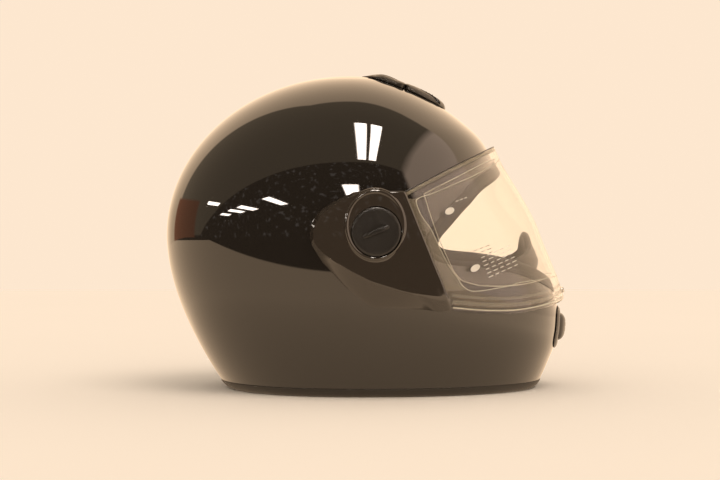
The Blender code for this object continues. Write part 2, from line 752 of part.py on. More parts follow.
def knob_frame(side):
    """Axes at the middle of a cover knob: along its bar, out, and across the bar."""
    at = np.array(KNOB_X), np.array(KNOB_Z)
    middle = side_at(side)(*at, COVER_TOP)
    out = middle - side_at(side)(*at, COVER_TOP - 1.0)
    level = np.cross(out, [0.0, 0.0, 1.0])
    level *= np.sign(level[0]) / np.linalg.norm(level)
    up = np.cross(level, out)
    up *= np.sign(up[2])
    along = math.cos(KNOB_BAR_TILT) * level + math.sin(KNOB_BAR_TILT) * up
    across = math.cos(KNOB_BAR_TILT) * up - math.sin(KNOB_BAR_TILT) * level
    return (along, out, across), middle


def crowned(frame, middle):
    """A map from a place in a frame to a point on a shallow dome, as round as the shell there."""
    def place(u, v, h):
        drop = (u**2 + v**2) / (2.0 * DOME_RADIUS)
        return middle + u[..., None] * frame[0] + v[..., None] * frame[2] + (h - drop)[..., None] * frame[1]
    return place


def add_knobs(looks):
    for side, name in ((RIGHT, "cover_knob_right"), (LEFT, "cover_knob_left")):
        frame, middle = knob_frame(side)
        radii = [KNOB_RADIUS * 0.4, KNOB_RADIUS * 0.75, KNOB_RADIUS * 0.95, KNOB_RADIUS]
        points, faces = plate((0.0, 0.0), around(30), radii, [0.9, 1.1, 1.1, 0.6], [-1.5] * 4,
                              crowned(frame, middle))
        knob = make(name, points, faces, looks["satin"], origin=middle)
        bar = box((-10.5, 0.2, -1.8), (10.5, 2.1, 1.8), frame, middle)
        combine(knob, cutter("add_bar_" + name, *bar), "UNION")


# Chin strap

def strap_path(side):
    """Middle line of one strap, from its anchor under the cheek pad to the buckle."""
    x = 6.0
    line = []
    for z in (45.0, 36.0, 27.0, 18.0):
        line.append(side_at(side)(np.array(x), np.array(z), -34.4))
    top = line[-1]
    for y, z in ((62.0, 11.0), (57.0, 8.2), (50.0, 7.0), (40.0, 6.6)):
        line.append(np.array([top[0], side * y, z]))
    line.append(np.array([top[0], side * (29.0 if side == RIGHT else 24.0), 6.5]))
    return np.array(line)


def add_straps(looks):
    for side, name in ((RIGHT, "right"), (LEFT, "left")):
        line = strap_path(side)
        ahead = np.gradient(line, axis=0)
        ahead[:, 0] = 0.0
        ahead /= np.linalg.norm(ahead, axis=1, keepdims=True)
        wide = np.array([11.0, 0.0, 0.0])
        sections = []
        for point, way in zip(line, ahead):
            out = np.cross(way, [1.0, 0.0, 0.0]) * 0.8
            sections.append([point + wide + out, point + wide - out,
                             point - wide - out, point - wide + out])
        make("strap_" + name, *along_path(sections, closed=False), looks["webbing"])
        place = side_at(side)
        angles = around(16)
        radius = superellipse(12.0, 9.0, 5.0, angles)
        anchor = plate((6.0, 57.0), angles, [radius * 0.6, radius], [-33.6] * 2, [-35.0] * 2, place)
        make("strap_anchor_" + name, *anchor, looks["steel"])


def add_buckle(looks):
    x = float(strap_path(RIGHT)[0][0])
    points, faces = box((x - 13, -28.6, 2.6), (x + 13, 4.0, 10.2))
    body = make("buckle_body", points, faces, looks["satin"])
    combine(body, cutter("cut_tongue_slot", *box((x - 9.4, -22.0, 4.9), (x + 9.4, 8.0, 8.2))))
    points, faces = box((x - 8.8, -20.0, 5.4), (x + 8.8, 23.6, 7.6))
    make("buckle_tongue", points, faces, looks["steel"])
    hinge = (x, -26.0, 11.6)
    points, faces = box((x - 11, -26.9, 10.8), (x + 11, 2.0, 12.6))
    make("buckle_lever", points, faces, looks["red"], origin=hinge)


def clear_scene():
    for old in list(bpy.data.objects):
        bpy.data.objects.remove(old, do_unlink=True)


def main():
    clear_scene()
    looks = {
        "gloss": material("shell_black", (0.006, 0.006, 0.007), 0.06),
        "smoked": material("cover_black", (0.02, 0.017, 0.015), 0.12),
        "satin": material("satin_black_plastic", (0.02, 0.02, 0.02), 0.4),
        "rubber": material("black_rubber", (0.015, 0.015, 0.015), 0.7),
        "foam": material("charcoal_foam", (0.05, 0.05, 0.05), 0.85),
        "fabric": material("black_fabric", (0.03, 0.03, 0.032), 0.9),
        "webbing": material("black_webbing", (0.02, 0.02, 0.02), 0.75),
        "steel": material("steel", (0.6, 0.6, 0.6), 0.3, metallic=1.0),
        "red": material("red_plastic", (0.45, 0.02, 0.02), 0.35),
        "clear": material("clear_polycarbonate", (0.93, 0.94, 0.9), 0.03, transmission=1.0),
    }
    for add in (add_shell, add_impact_liner, add_crown_pad, add_chin_liner, add_cheek_blocks,
                add_cheek_pads, add_neck_roll, add_base_trim, add_port_seal, add_breath_guard,
                add_chin_vent, add_top_vent, add_vent_fairing, add_visor, add_hinges, add_covers,
                add_knobs, add_straps, add_buckle):
        add(looks)


main()
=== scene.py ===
"""Looks of a full-face motorcycle helmet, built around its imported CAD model.

Lengths in the geometry code are millimetres; objects are made in metres. The front faces +X, the
top +Z and the wearer's left +Y.
"""
import math

import bmesh
import bpy
import numpy as np
from mathutils.bvhtree import BVHTree
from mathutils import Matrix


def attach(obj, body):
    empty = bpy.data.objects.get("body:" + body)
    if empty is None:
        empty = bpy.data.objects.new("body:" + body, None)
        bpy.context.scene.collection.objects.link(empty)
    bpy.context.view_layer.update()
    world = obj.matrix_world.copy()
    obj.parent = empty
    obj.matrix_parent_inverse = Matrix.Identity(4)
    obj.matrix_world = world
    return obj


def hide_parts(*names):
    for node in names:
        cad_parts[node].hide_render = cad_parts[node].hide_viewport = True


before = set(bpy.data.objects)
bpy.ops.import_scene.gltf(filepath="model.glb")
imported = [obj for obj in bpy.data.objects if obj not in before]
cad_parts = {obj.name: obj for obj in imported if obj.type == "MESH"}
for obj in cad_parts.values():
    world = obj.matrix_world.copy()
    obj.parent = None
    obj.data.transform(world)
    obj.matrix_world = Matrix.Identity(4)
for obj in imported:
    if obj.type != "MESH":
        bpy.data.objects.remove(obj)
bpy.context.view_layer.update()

MM = 0.001
RIGHT = -1
LEFT = 1
SIDES = ((RIGHT, "right"), (LEFT, "left"))

# The shell's surface, as in the CAD.
TOP_X = -14.0
TOP_Z = 252.7
WIDEST_Z = 123.0
HALF_WIDTH = 117.0
RING_POWER = 2.1
FRONT_KNOTS = ((0, 138.5), (11, 144), (22, 148.8), (32, 153), (45, 156.5), (58, 157), (72, 154),
               (86, 149.8), (100, 144.5), (115, 138.8), (131.6, 132.6), (148, 123.8),
               (164.5, 113.8), (179, 105.2), (187, 101.6), (194, 97.8), (201.5, 92.6), (210, 84.2))
SHELL_WALL = 3.5
SHELL_FOOT_Z = 4.6
PORT_TOP_Z = 176.6
PORT_BOTTOM_Z = 83.9
PORT_SIDE = ((92, 163), (74, 146), (58, 128.5), (51, 118.5), (53.5, 112), (64, 108.5),
             (86.4, 106.3), (113.4, 101.3))
PORT_APEX = (25.0, 0.0, 128.0)
PIVOT_X = -3.7
PIVOT_Z = 134.0
VISOR_STANDOFF = 3.4
VISOR_WALL = 2.2
EAR_RADIUS = 15.0
HUB_RADIUS = 6.8
COVER_OUTLINE = ((26.3, 153.8), (62.3, 67.1), (40, 67.6), (20, 68.6), (3.5, 69.3), (-6.8, 76.7),
                 (-16.3, 84.8), (-23.7, 92.8), (-33.2, 103.1), (-41.4, 116), (-42.8, 123),
                 (-41.5, 131.5), (-36.2, 139.9), (-27, 146.5), (-16.3, 152.4), (-4, 153.8))
COVER_FACET = ((25.6, 152.6), (58.5, 74.2), (40, 78.3), (24.1, 82.5), (2, 89.9), (-12, 97),
               (-23.7, 104.1), (-33, 111.6), (-37.6, 117.5), (-38.8, 123), (-37.4, 130),
               (-32.6, 137.4), (-25, 143.2), (-15.3, 148.6), (-4, 152.6))
BOSS = (5.3, 129.7)
BOSS_HALF = (21.4, 25.2)
COVER_LOW = 8.75
COVER_TOP = 10.4
BOSS_TOP = 11.4
BOSS_PROFILE = ((0.6, -0.7), (0.86, -0.7), (0.885, -0.6), (0.905, -0.2), (0.93, 0.05), (0.955, 0.05),
                (0.98, -0.2), (0.995, -0.7), (1.0, -0.95))
FACE_SWELL = 1.3
KNOB = (6.2, 125.2)
KNOB_RADIUS = 18.4
KNOB_BAR_TILT = math.radians(23)
DOME_RADIUS = 140.0
SHARP = 38.0
HALVINGS = 40
CHIN_HOLE = ((118, -15, 45), (175, 15, 54))

# Cloth simulation of the pads.
PAD_VOXEL = 4.0
PAD_CAP = 5.0
PRESSURE = 4.0
LAST_STEP = 20
INSIDE_GAP = 0.0001


# Camera, floor and light

def add_camera():
    data = bpy.data.cameras.new("camera")
    data.sensor_width = 36.0
    data.lens = 72.97
    data.clip_end = 60.0
    camera = bpy.data.objects.new("camera", data)
    camera.location = (-0.0053, -1.2, 0.1193)
    camera.rotation_euler = (math.radians(90), 0.0, 0.0)
    bpy.context.scene.collection.objects.link(camera)
    bpy.context.scene.camera = camera


class Graph:
    """Short names for adding and joining shader nodes."""

    def __init__(self, tree):
        self.tree = tree
        tree.nodes.clear()

    def add(self, kind, inputs=None, **settings):
        node = self.tree.nodes.new(kind)
        for name, value in settings.items():
            setattr(node, name, value)
        for name, value in (inputs or {}).items():
            self.join(value, node.inputs[name])
        return node

    def join(self, value, socket):
        if isinstance(value, bpy.types.NodeSocket):
            self.tree.links.new(value, socket)
        elif isinstance(value, (tuple, list)) and len(value) == 3 and len(socket.default_value) == 4:
            socket.default_value = (*value, 1.0)
        else:
            socket.default_value = value

    def math(self, operation, a, b=0.0, clamp=False):
        node = self.add("ShaderNodeMath", {0: a, 1: b}, operation=operation, use_clamp=clamp)
        return node.outputs[0]

    def mix(self, factor, a, b):
        node = self.add("ShaderNodeMix", data_type="RGBA")
        self.join(factor, node.inputs[0])
        self.join(a, node.inputs[6])
        self.join(b, node.inputs[7])
        return node.outputs[2]

    def over(self, value, limit, softness):
        """0 below a limit and 1 above it, with a soft step."""
        rise = self.math("SUBTRACT", value, limit)
        rise = self.math("DIVIDE", rise, softness)
        return self.math("ADD", rise, 0.5, clamp=True)

    def between(self, value, low, high, softness):
        above = self.over(value, low, softness)
        below = self.math("SUBTRACT", 1.0, self.over(value, high, softness))
        return self.math("MULTIPLY", above, below)


PALE = (0.985, 0.80, 0.625)
SKY = (0.83, 0.675, 0.527)
ROOM = {
    "wall": (1.32, 0.95, 0.63),
    "west": (0.98, 0.70, 0.45),
    "ceiling": (0.36, 0.27, 0.18),
    "deep": (0.11, 0.075, 0.05),
    "side_wall": (1.75, 1.28, 0.95),
    "cabinet": (0.42, 0.17, 0.09),
    # The next three colours are what the floor glows with in mirrored views, in place of being lit.
    "table": (1.12, 0.80, 0.52),
    # Painted contact shadow: the mirrored table darkened near the helmet.
    "under": (0.62, 0.44, 0.285),
    # Painted sunlight: the mirrored table brightened on the right.
    "sunlit_table_painted": (1.55, 1.12, 0.74),
}
# Ceiling lights, as low and high across and along, for a ceiling one unit above the helmet.
TUBES = ((-0.01, 0.085, -1.05, -0.25), (0.13, 0.235, -1.05, -0.25), (-0.26, -0.03, -2.9, -2.05),
         (-2.3, -2.0, -3.3, -2.2), (-3.85, -3.4, -3.2, -2.1), (-4.7, -4.25, -3.0, -1.95),
         (-4.0, -3.6, -0.95, -0.2), (-5.9, -5.35, -2.6, -1.8))


def room_colors(g):
    """What polished surfaces mirror: a dim room with ceiling lights, a side wall and a pale wall."""
    direction = g.add("ShaderNodeTexCoord").outputs["Generated"]
    x, y, z = g.add("ShaderNodeSeparateXYZ", {0: direction}).outputs
    up = g.math("MAXIMUM", z, 0.001)
    across = g.math("DIVIDE", x, up)
    along = g.math("DIVIDE", y, up)
    level = g.math("MAXIMUM", z, 0.0)
    speck = g.add("ShaderNodeTexNoise", {"Vector": direction, "Scale": 26.0, "Detail": 5.0})
    speckle = g.over(speck.outputs["Fac"], 0.63, 0.09)
    color = g.mix(speckle, ROOM["deep"], (0.42, 0.36, 0.32))
    near = g.math("MULTIPLY", g.over(along, -1.13, 0.03), g.over(z, 0.0, 0.01))
    color = g.mix(near, color, ROOM["ceiling"])
    for low_x, high_x, low_y, high_y in TUBES:
        wide = high_x - low_x
        inside = g.math("MULTIPLY", g.between(across, low_x, high_x, 0.12 * wide),
                        g.between(along, low_y, high_y, 0.1 * wide))
        inside = g.math("MULTIPLY", inside, g.over(z, 0.02, 0.01))
        color = g.mix(inside, color, (24.0, 21.0, 18.5))
    beside = g.over(g.math("SUBTRACT", x, g.math("MULTIPLY", level, 0.7)), 0.02, 0.1)
    ahead = g.over(g.math("ADD", y, g.math("MULTIPLY", x, 1.6)), 0.02, 0.1)
    color = g.mix(g.math("MULTIPLY", beside, ahead), color, ROOM["side_wall"])
    left = g.math("SUBTRACT", g.math("MULTIPLY", x, -1.0), g.math("MULTIPLY", level, 0.25))
    corner = g.math("MULTIPLY", g.math("MAXIMUM", left, 0.0), 0.75)
    corner = g.math("ADD", corner, g.math("MULTIPLY", level, 0.22))
    behind = g.over(g.math("SUBTRACT", y, corner), 0.0, 0.03)
    dusk = g.math("MULTIPLY", g.over(g.math("MULTIPLY", x, -1.0), 0.45, 0.4),
                  g.over(g.math("MULTIPLY", z, -1.0), -0.3, 0.4))
    color = g.mix(behind, color, g.mix(dusk, ROOM["wall"], ROOM["west"]))
    west = g.math("MAXIMUM", g.math("MULTIPLY", x, -1.0), 0.001)
    swing = g.between(g.math("DIVIDE", y, west), 0.12, 0.88, 0.04)
    lift = g.between(g.math("DIVIDE", z, west), -0.2, 0.27, 0.02)
    box = g.math("MULTIPLY", g.math("MULTIPLY", swing, lift), g.over(x, -0.3, -0.02))
    return g.mix(box, color, ROOM["cabinet"])


def add_world():
    world = bpy.data.worlds.new("studio")
    world.use_nodes = True
    bpy.context.scene.world = world
    g = Graph(world.node_tree)
    path = g.add("ShaderNodeLightPath")
    color = g.mix(path.outputs["Is Diffuse Ray"], PALE, SKY)
    color = g.mix(path.outputs["Is Glossy Ray"], color, room_colors(g))
    shader = g.add("ShaderNodeBackground", {"Color": color, "Strength": 1.0})
    g.add("ShaderNodeOutputWorld", {"Surface": shader.outputs[0]})


def add_floor():
    mesh = bpy.data.meshes.new("floor")
    corners = ((-7, -7, -0.0003), (7, -7, -0.0003), (7, 2.3, -0.0003), (-7, 2.3, -0.0003))
    mesh.from_pydata(corners, [], [(0, 1, 2, 3)])
    floor = bpy.data.objects.new("floor", mesh)
    bpy.context.scene.collection.objects.link(floor)
    look = bpy.data.materials.new("floor_pale")
    look.use_nodes = True
    g = Graph(look.node_tree)
    place = g.add("ShaderNodeNewGeometry").outputs["Position"]
    x, y, _ = g.add("ShaderNodeSeparateXYZ", {0: place}).outputs
    grain = g.add("ShaderNodeTexNoise", {"Vector": place, "Scale": 3.0, "Detail": 4.0})
    tone = g.mix(grain.outputs["Fac"], (0.955, 0.945, 0.92), (0.975, 0.965, 0.94))
    matt = g.add("ShaderNodeBsdfDiffuse", {"Color": tone})
    on_table = g.math("MULTIPLY", g.over(y, -0.585, 0.03), g.over(x, -3.2, 0.03))
    east = g.over(g.math("ADD", x, g.math("MULTIPLY", y, 0.63)), 0.0, 0.1)
    reach_out = g.add("ShaderNodeVectorMath", {0: place}, operation="LENGTH").outputs["Value"]
    # For mirrored rays the floor is a painted reflection, not a lit surface. It is brighter towards the
    # right as painted sunlight and darker within about 0.18 m of the helmet as a painted contact shadow.
    table = g.mix(g.over(x, 0.16, 0.4), ROOM["table"], ROOM["sunlit_table_painted"])
    table_painted_shade = g.mix(g.over(reach_out, 0.18, 0.3), ROOM["under"], table)
    painted_reflection_color = g.mix(on_table, g.mix(east, ROOM["deep"], ROOM["side_wall"]), table_painted_shade)
    # The floor glows with this painted reflection, though it is no lamp, and only for mirrored rays.
    plain = g.add("ShaderNodeEmission", {"Color": painted_reflection_color, "Strength": 1.0})
    mirrored = g.add("ShaderNodeLightPath").outputs["Is Glossy Ray"]
    both = g.add("ShaderNodeMixShader", {0: mirrored, 1: matt.outputs[0], 2: plain.outputs[0]})
    g.add("ShaderNodeOutputMaterial", {"Surface": both.outputs[0]})
    mesh.materials.append(look)


def add_sun(name, place, strength, softness):
    """A broad, even light from one side, left out of mirrored views."""
    data = bpy.data.lights.new(name, "SUN")
    data.energy = strength
    data.angle = math.radians(softness)
    data.color = (1.0, 0.80, 0.63)
    lamp = bpy.data.objects.new(name, data)
    aim = -np.array(place, float)
    aim /= np.linalg.norm(aim)
    lamp.location = place
    lamp.rotation_euler = (math.acos(-aim[2]), 0.0, math.atan2(-aim[0], aim[1]))
    lamp.visible_glossy = False
    lamp.visible_camera = False
    bpy.context.scene.collection.objects.link(lamp)


# Materials

def material(name, color, roughness, **more):
    """A Principled material and its graph, its shader and its object coordinates."""
    made = bpy.data.materials.new(name)
    made.use_nodes = True
    g = Graph(made.node_tree)
    shader = g.add("ShaderNodeBsdfPrincipled")
    shader.inputs["Base Color"].default_value = (*color, 1.0)
    shader.inputs["Roughness"].default_value = roughness
    for key, value in more.items():
        g.join(value, shader.inputs[key.replace("_", " ")])
    g.add("ShaderNodeOutputMaterial", {"Surface": shader.outputs[0]})
    place = g.add("ShaderNodeTexCoord").outputs["Object"]
    return made, g, shader, place


def noise(g, place, scale, detail=3.0, roughness=0.5):
    node = g.add("ShaderNodeTexNoise", {"Vector": place, "Scale": scale, "Detail": detail,
                                        "Roughness": roughness})
    return node.outputs["Fac"]


def spread(g, value, low, high):
    node = g.add("ShaderNodeMapRange", {"Value": value, "To Min": low, "To Max": high})
    return node.outputs[0]


def bump(g, shader, height, distance, strength=1.0):
    node = g.add("ShaderNodeBump", {"Height": height, "Distance": distance, "Strength": strength})
    g.join(node.outputs[0], shader.inputs["Normal"])


def gloss_look(name, color, coat):
    made, g, shader, place = material(name, color, 0.12, Coat_Weight=coat, Coat_Roughness=0.012,
                                      Coat_IOR=1.5, IOR=1.5)
    fleck = noise(g, place, 900.0, 2.0)
    lighter = tuple(c * 1.15 for c in color)
    g.join(g.mix(fleck, color, lighter), shader.inputs["Base Color"])
    haze = noise(g, place, 14.0, 4.0)
    g.join(spread(g, haze, 0.015, 0.05), shader.inputs["Roughness"])
    bump(g, shader, noise(g, place, 260.0, 1.0), 0.000004, 0.25)
    return made


def satin_look(name, color, roughness, grain=1800.0):
    made, g, shader, place = material(name, color, roughness, IOR=1.5)
    fine = noise(g, place, grain, 2.0)
    wear = noise(g, place, 40.0, 4.0)
    lighter = tuple(c * 1.7 + 0.002 for c in color)
    g.join(g.mix(wear, color, lighter), shader.inputs["Base Color"])
    g.join(spread(g, wear, roughness - 0.08, roughness + 0.1), shader.inputs["Roughness"])
    bump(g, shader, fine, 0.00006, 0.5)
    return made


def rubber_look():
    made, g, shader, place = material("rubber_seal", (0.02, 0.018, 0.016), 0.5, IOR=1.5)
    wear = noise(g, place, 60.0, 5.0)
    g.join(g.mix(wear, (0.016, 0.0145, 0.013), (0.034, 0.03, 0.026)), shader.inputs["Base Color"])
    g.join(spread(g, wear, 0.36, 0.6), shader.inputs["Roughness"])
    bump(g, shader, noise(g, place, 1100.0, 3.0), 0.00005, 0.6)
    return made


def foam_look():
    made, g, shader, place = material("bead_foam", (0.03, 0.03, 0.03), 0.8, IOR=1.45)
    cells = g.add("ShaderNodeTexVoronoi", {"Vector": place, "Scale": 330.0}, feature="F1")
    edge = g.add("ShaderNodeTexVoronoi", {"Vector": place, "Scale": 330.0},
                 feature="DISTANCE_TO_EDGE")
    tone = g.mix(cells.outputs["Color"], (0.022, 0.022, 0.023), (0.05, 0.05, 0.052))
    line = g.over(edge.outputs["Distance"], 0.05, 0.08)
    g.join(g.mix(line, (0.008, 0.008, 0.008), tone), shader.inputs["Base Color"])
    g.join(spread(g, cells.outputs["Distance"], 0.62, 0.9), shader.inputs["Roughness"])
    bump(g, shader, edge.outputs["Distance"], 0.0009, 0.7)
    return made


def knit_look(name, color):
    made, g, shader, place = material(name, color, 0.92, Sheen_Weight=0.35, Sheen_Roughness=0.4)
    bands = []
    for turn in (0.5, -0.5):
        spun = g.add("ShaderNodeMapping", {"Vector": place, "Rotation": (turn, turn, turn * 1.4)})
        wave = g.add("ShaderNodeTexWave", {"Vector": spun.outputs[0], "Scale": 260.0,
                                           "Distortion": 1.2, "Detail": 1.0}, bands_direction="Z")
        bands.append(wave.outputs["Fac"])
    weave = g.math("MULTIPLY", bands[0], bands[1])
    pill = noise(g, place, 500.0, 4.0)
    height = g.math("ADD", weave, g.math("MULTIPLY", pill, 0.5))
    darker = tuple(c * 0.35 for c in color)
    fade = noise(g, place, 22.0, 4.0)
    lighter = tuple(c * 1.5 for c in color)
    g.join(g.mix(weave, darker, g.mix(fade, color, lighter)), shader.inputs["Base Color"])
    bump(g, shader, height, 0.0005, 0.8)
    return made


def webbing_look():
    made, g, shader, place = material("webbing", (0.016, 0.016, 0.016), 0.8, Sheen_Weight=0.25)
    bands = []
    for turn in (0.6, -0.6):
        spun = g.add("ShaderNodeMapping", {"Vector": place, "Rotation": (0.0, 0.0, turn)})
        wave = g.add("ShaderNodeTexWave", {"Vector": spun.outputs[0], "Scale": 330.0},
                     bands_direction="X")
        bands.append(wave.outputs["Fac"])
    weave = g.math("MAXIMUM", bands[0], bands[1])
    g.join(g.mix(weave, (0.008, 0.008, 0.008), (0.032, 0.031, 0.03)), shader.inputs["Base Color"])
    bump(g, shader, weave, 0.0004, 0.9)
    return made


def steel_look():
    made, g, shader, place = material("plated_steel", (0.62, 0.61, 0.59), 0.25, Metallic=1.0)
    drawn = g.add("ShaderNodeMapping", {"Vector": place, "Scale": (60.0, 2400.0, 2400.0)})
    line = noise(g, drawn.outputs[0], 1.0, 2.0)
    g.join(g.mix(line, (0.52, 0.51, 0.49), (0.7, 0.69, 0.67)), shader.inputs["Base Color"])
    g.join(spread(g, line, 0.18, 0.34), shader.inputs["Roughness"])
    bump(g, shader, line, 0.00002, 0.5)
    return made


def set_surface(g, shader):
    output = next(n for n in g.tree.nodes if n.type == "OUTPUT_MATERIAL")
    g.join(shader.outputs[0], output.inputs["Surface"])


def clear_look(name, tint, ior, scale):
    """Clear plastic whose shadow lets light through, with faint ripple from its moulding."""
    made, g, shader, place = material(name, tint, 0.0, Transmission_Weight=1.0, IOR=ior)
    ripple = noise(g, place, scale, 2.0)
    g.join(g.mix(ripple, tint, tuple(min(1.0, c * 1.01) for c in tint)),
           shader.inputs["Base Color"])
    bump(g, shader, ripple, 0.00001, 0.15)
    shadow = g.add("ShaderNodeLightPath").outputs["Is Shadow Ray"]
    open_way = g.add("ShaderNodeBsdfTransparent", {"Color": tuple(c * 0.95 for c in tint)})
    both = g.add("ShaderNodeMixShader", {0: shadow, 1: shader.outputs[0],
                                         2: open_way.outputs[0]})
    set_surface(g, both)
    return made


def veil_look(name, color, cover, roughness):
    """A thin printed or frosted layer that lets most light through."""
    made, g, shader, place = material(name, color, roughness, IOR=1.5)
    mottle = noise(g, place, 300.0, 3.0)
    g.join(g.mix(mottle, color, tuple(min(1.0, c * 1.1) for c in color)),
           shader.inputs["Base Color"])
    open_way = g.add("ShaderNodeBsdfTransparent", {"Color": (1.0, 1.0, 1.0)})
    amount = spread(g, mottle, cover * 0.93, cover * 1.07)
    both = g.add("ShaderNodeMixShader", {0: amount, 1: open_way.outputs[0], 2: shader.outputs[0]})
    set_surface(g, both)
    return made


def make_looks():
    return {
        "shell": gloss_look("shell_gloss_black", (0.009, 0.008, 0.007), 1.0),
        "cover": gloss_look("cover_smoked_gloss", (0.030, 0.0245, 0.0195), 0.8),
        "vent": satin_look("vent_satin", (0.034, 0.029, 0.024), 0.27),
        "knob": satin_look("knob_satin", (0.012, 0.011, 0.010), 0.32),
        "satin": satin_look("satin_plastic", (0.014, 0.013, 0.013), 0.4),
        "rubber": rubber_look(),
        "foam": foam_look(),
        "knit": knit_look("lining_knit", (0.022, 0.022, 0.024)),
        "velour": knit_look("pad_velour", (0.03, 0.03, 0.032)),
        "webbing": webbing_look(),
        "steel": steel_look(),
        "red": satin_look("red_lever", (0.42, 0.012, 0.012), 0.33, 1200.0),
        "clear": clear_look("clear_visor", (0.978, 0.980, 0.99), 1.33, 30.0),
        "insert": veil_look("clear_insert", (0.80, 0.70, 0.52), 0.035, 0.3),
        "edge": veil_look("film_edge", (0.80, 0.76, 0.62), 0.5, 0.25),
        "rim": veil_look("visor_rim", (0.38, 0.345, 0.25), 0.32, 0.25),
        # Frosted strip look, also used for the painted reflection bands on the lower visor.
        "strip": veil_look("visor_strip", (0.62, 0.54, 0.40), 0.13, 0.4),
        "print": veil_look("film_print", (0.88, 0.86, 0.80), 0.75, 0.5),
    }


# Shell surface, as in the CAD

def smooth(t):
    t = np.clip(t, 0.0, 1.0)
    return t * t * (3.0 - 2.0 * t)


def through_knots(knots, at):
    places, values = np.array(knots, float).T
    slopes = np.gradient(values, places)
    at = np.clip(at, places[0], places[-1])
    i = np.clip(np.searchsorted(places, at) - 1, 0, len(places) - 2)
    span = places[i + 1] - places[i]
    t = (at - places[i]) / span
    start = (2 * t**3 - 3 * t**2 + 1) * values[i] + (t**3 - 2 * t**2 + t) * span * slopes[i]
    end = (3 * t**2 - 2 * t**3) * values[i + 1] + (t**3 - t**2) * span * slopes[i + 1]
    return start + end


def rise(z):
    return np.clip((z - WIDEST_Z) / (TOP_Z - WIDEST_Z), 0.0, 1.0)


def fall(z):
    return np.clip((WIDEST_Z - z) / WIDEST_Z, -0.1, 1.0)


def front_x(z):
    u = rise(z)
    power = 1.75 + 0.25 * smooth((u - 0.93) / 0.07)
    brow = TOP_X + 145.0 * (1.0 - u**power) ** (1.0 / power)
    return np.where(z > 210.0, brow, through_knots(FRONT_KNOTS, z))


def back_x(z):
    nape = -163.3 + 49.0 * np.clip(fall(z), 0.0, 1.0) ** 1.78
    return np.where(z > WIDEST_Z, TOP_X - 149.3 * np.sqrt(1.0 - rise(z) ** 2), nape)


def half_width(z):
    crown = HALF_WIDTH * (1.0 - rise(z) ** 2.2) ** (1.0 / 2.2)
    return np.where(z > WIDEST_Z, crown, HALF_WIDTH - 24.0 * np.clip(fall(z), 0.0, 1.0) ** 2)


def middle_x(z):
    return -4.0 - 10.0 * rise(z) ** 2


def reach(z, forward):
    return np.where(forward, front_x(z) - middle_x(z), middle_x(z) - back_x(z))


def ring(turn, z):
    """The point of the level ring at height z that lies at this turn from the front."""
    c = np.cos(turn)
    s = np.sin(turn)
    e = 2.0 / RING_POWER
    x = middle_x(z) + reach(z, c >= 0) * np.sign(c) * np.abs(c) ** e
    y = half_width(z) * np.sign(s) * np.abs(s) ** e
    return np.stack([x, y, z + 0.0 * turn], -1)


def normal(turn, z, step=1e-3, height=0.1):
    high = np.minimum(z + 0.5 * height, TOP_Z - 1e-6)
    across = ring(turn + step, z) - ring(turn - step, z)
    up = ring(turn, high) - ring(turn, high - height)
    n = np.cross(across, up)
    return n / np.linalg.norm(n, axis=-1, keepdims=True)


def soft_normal(turn, z):
    """The surface direction over a wider patch, so that the profile's joints don't show."""
    return normal(turn, np.clip(z, 4.0, TOP_Z - 4.0), 0.03, 8.0)


def shell_at(turn, z, off=0.0):
    turn, z, off = np.broadcast_arrays(np.asarray(turn, float), np.asarray(z, float), off)
    return ring(turn, z) + off[..., None] * normal(turn, z)


def turn_at(x, y, z):
    along = (x - middle_x(z)) / reach(z, x >= middle_x(z))
    aside = y / half_width(z)
    c = np.sign(along) * np.abs(along) ** (RING_POWER / 2.0)
    s = np.sign(aside) * np.abs(aside) ** (RING_POWER / 2.0)
    return np.arctan2(s, c)


def turn_on_side(x, z):
    along = np.clip((x - middle_x(z)) / reach(z, x >= middle_x(z)), -1.0, 1.0)
    return np.arccos(np.sign(along) * np.abs(along) ** (RING_POWER / 2.0))


def side_at(side):
    def place(x, z, h):
        return shell_at(side * turn_on_side(x, z), z, h)
    return place


def front_at(y, z, h):
    aside = np.clip(np.abs(y) / half_width(z), 0.0, 1.0)
    turn = np.arcsin(aside ** (RING_POWER / 2.0)) * np.sign(y)
    return shell_at(turn, z, h)


def top_z(x, y):
    low = np.full(np.shape(x + 0.0 * y), WIDEST_Z)
    high = np.full(np.shape(low), TOP_Z - 1e-4)
    for _ in range(HALVINGS):
        z = 0.5 * (low + high)
        along = np.abs(x - middle_x(z)) / reach(z, x >= middle_x(z))
        inside = along**RING_POWER + np.abs(y / half_width(z)) ** RING_POWER < 1.0
        low = np.where(inside, z, low)
        high = np.where(inside, high, z)
    return low


def top_at(x, y, h):
    step = 0.5
    z = top_z(x, y)
    dx = (top_z(x + step, y) - top_z(x - step, y)) / (2 * step)
    dy = (top_z(x, y + step) - top_z(x, y - step)) / (2 * step)
    n = np.stack([-dx, -dy, np.ones_like(z)], -1)
    n /= np.linalg.norm(n, axis=-1, keepdims=True)
    return np.stack([x + 0.0 * z, y + 0.0 * z, z], -1) + np.asarray(h)[..., None] * n


# Making pieces

def new_object(name, points, faces, look):
    mesh = bpy.data.meshes.new(name)
    points = np.array(points, float).reshape(-1, 3) * MM
    mesh.from_pydata(points.tolist(), [], [tuple(int(i) for i in face) for face in faces])
    built = bmesh.new()
    built.from_mesh(mesh)
    bmesh.ops.recalc_face_normals(built, faces=built.faces)
    built.to_mesh(mesh)
    built.free()
    mesh.materials.append(look)
    made = bpy.data.objects.new(name, mesh)
    bpy.context.scene.collection.objects.link(made)
    return made


def settle(made):
    """Writes an object's modifiers into its mesh."""
    bpy.context.view_layer.update()
    graph = bpy.context.evaluated_depsgraph_get()
    mesh = bpy.data.meshes.new_from_object(made.evaluated_get(graph))
    made.modifiers.clear()
    made.data = mesh


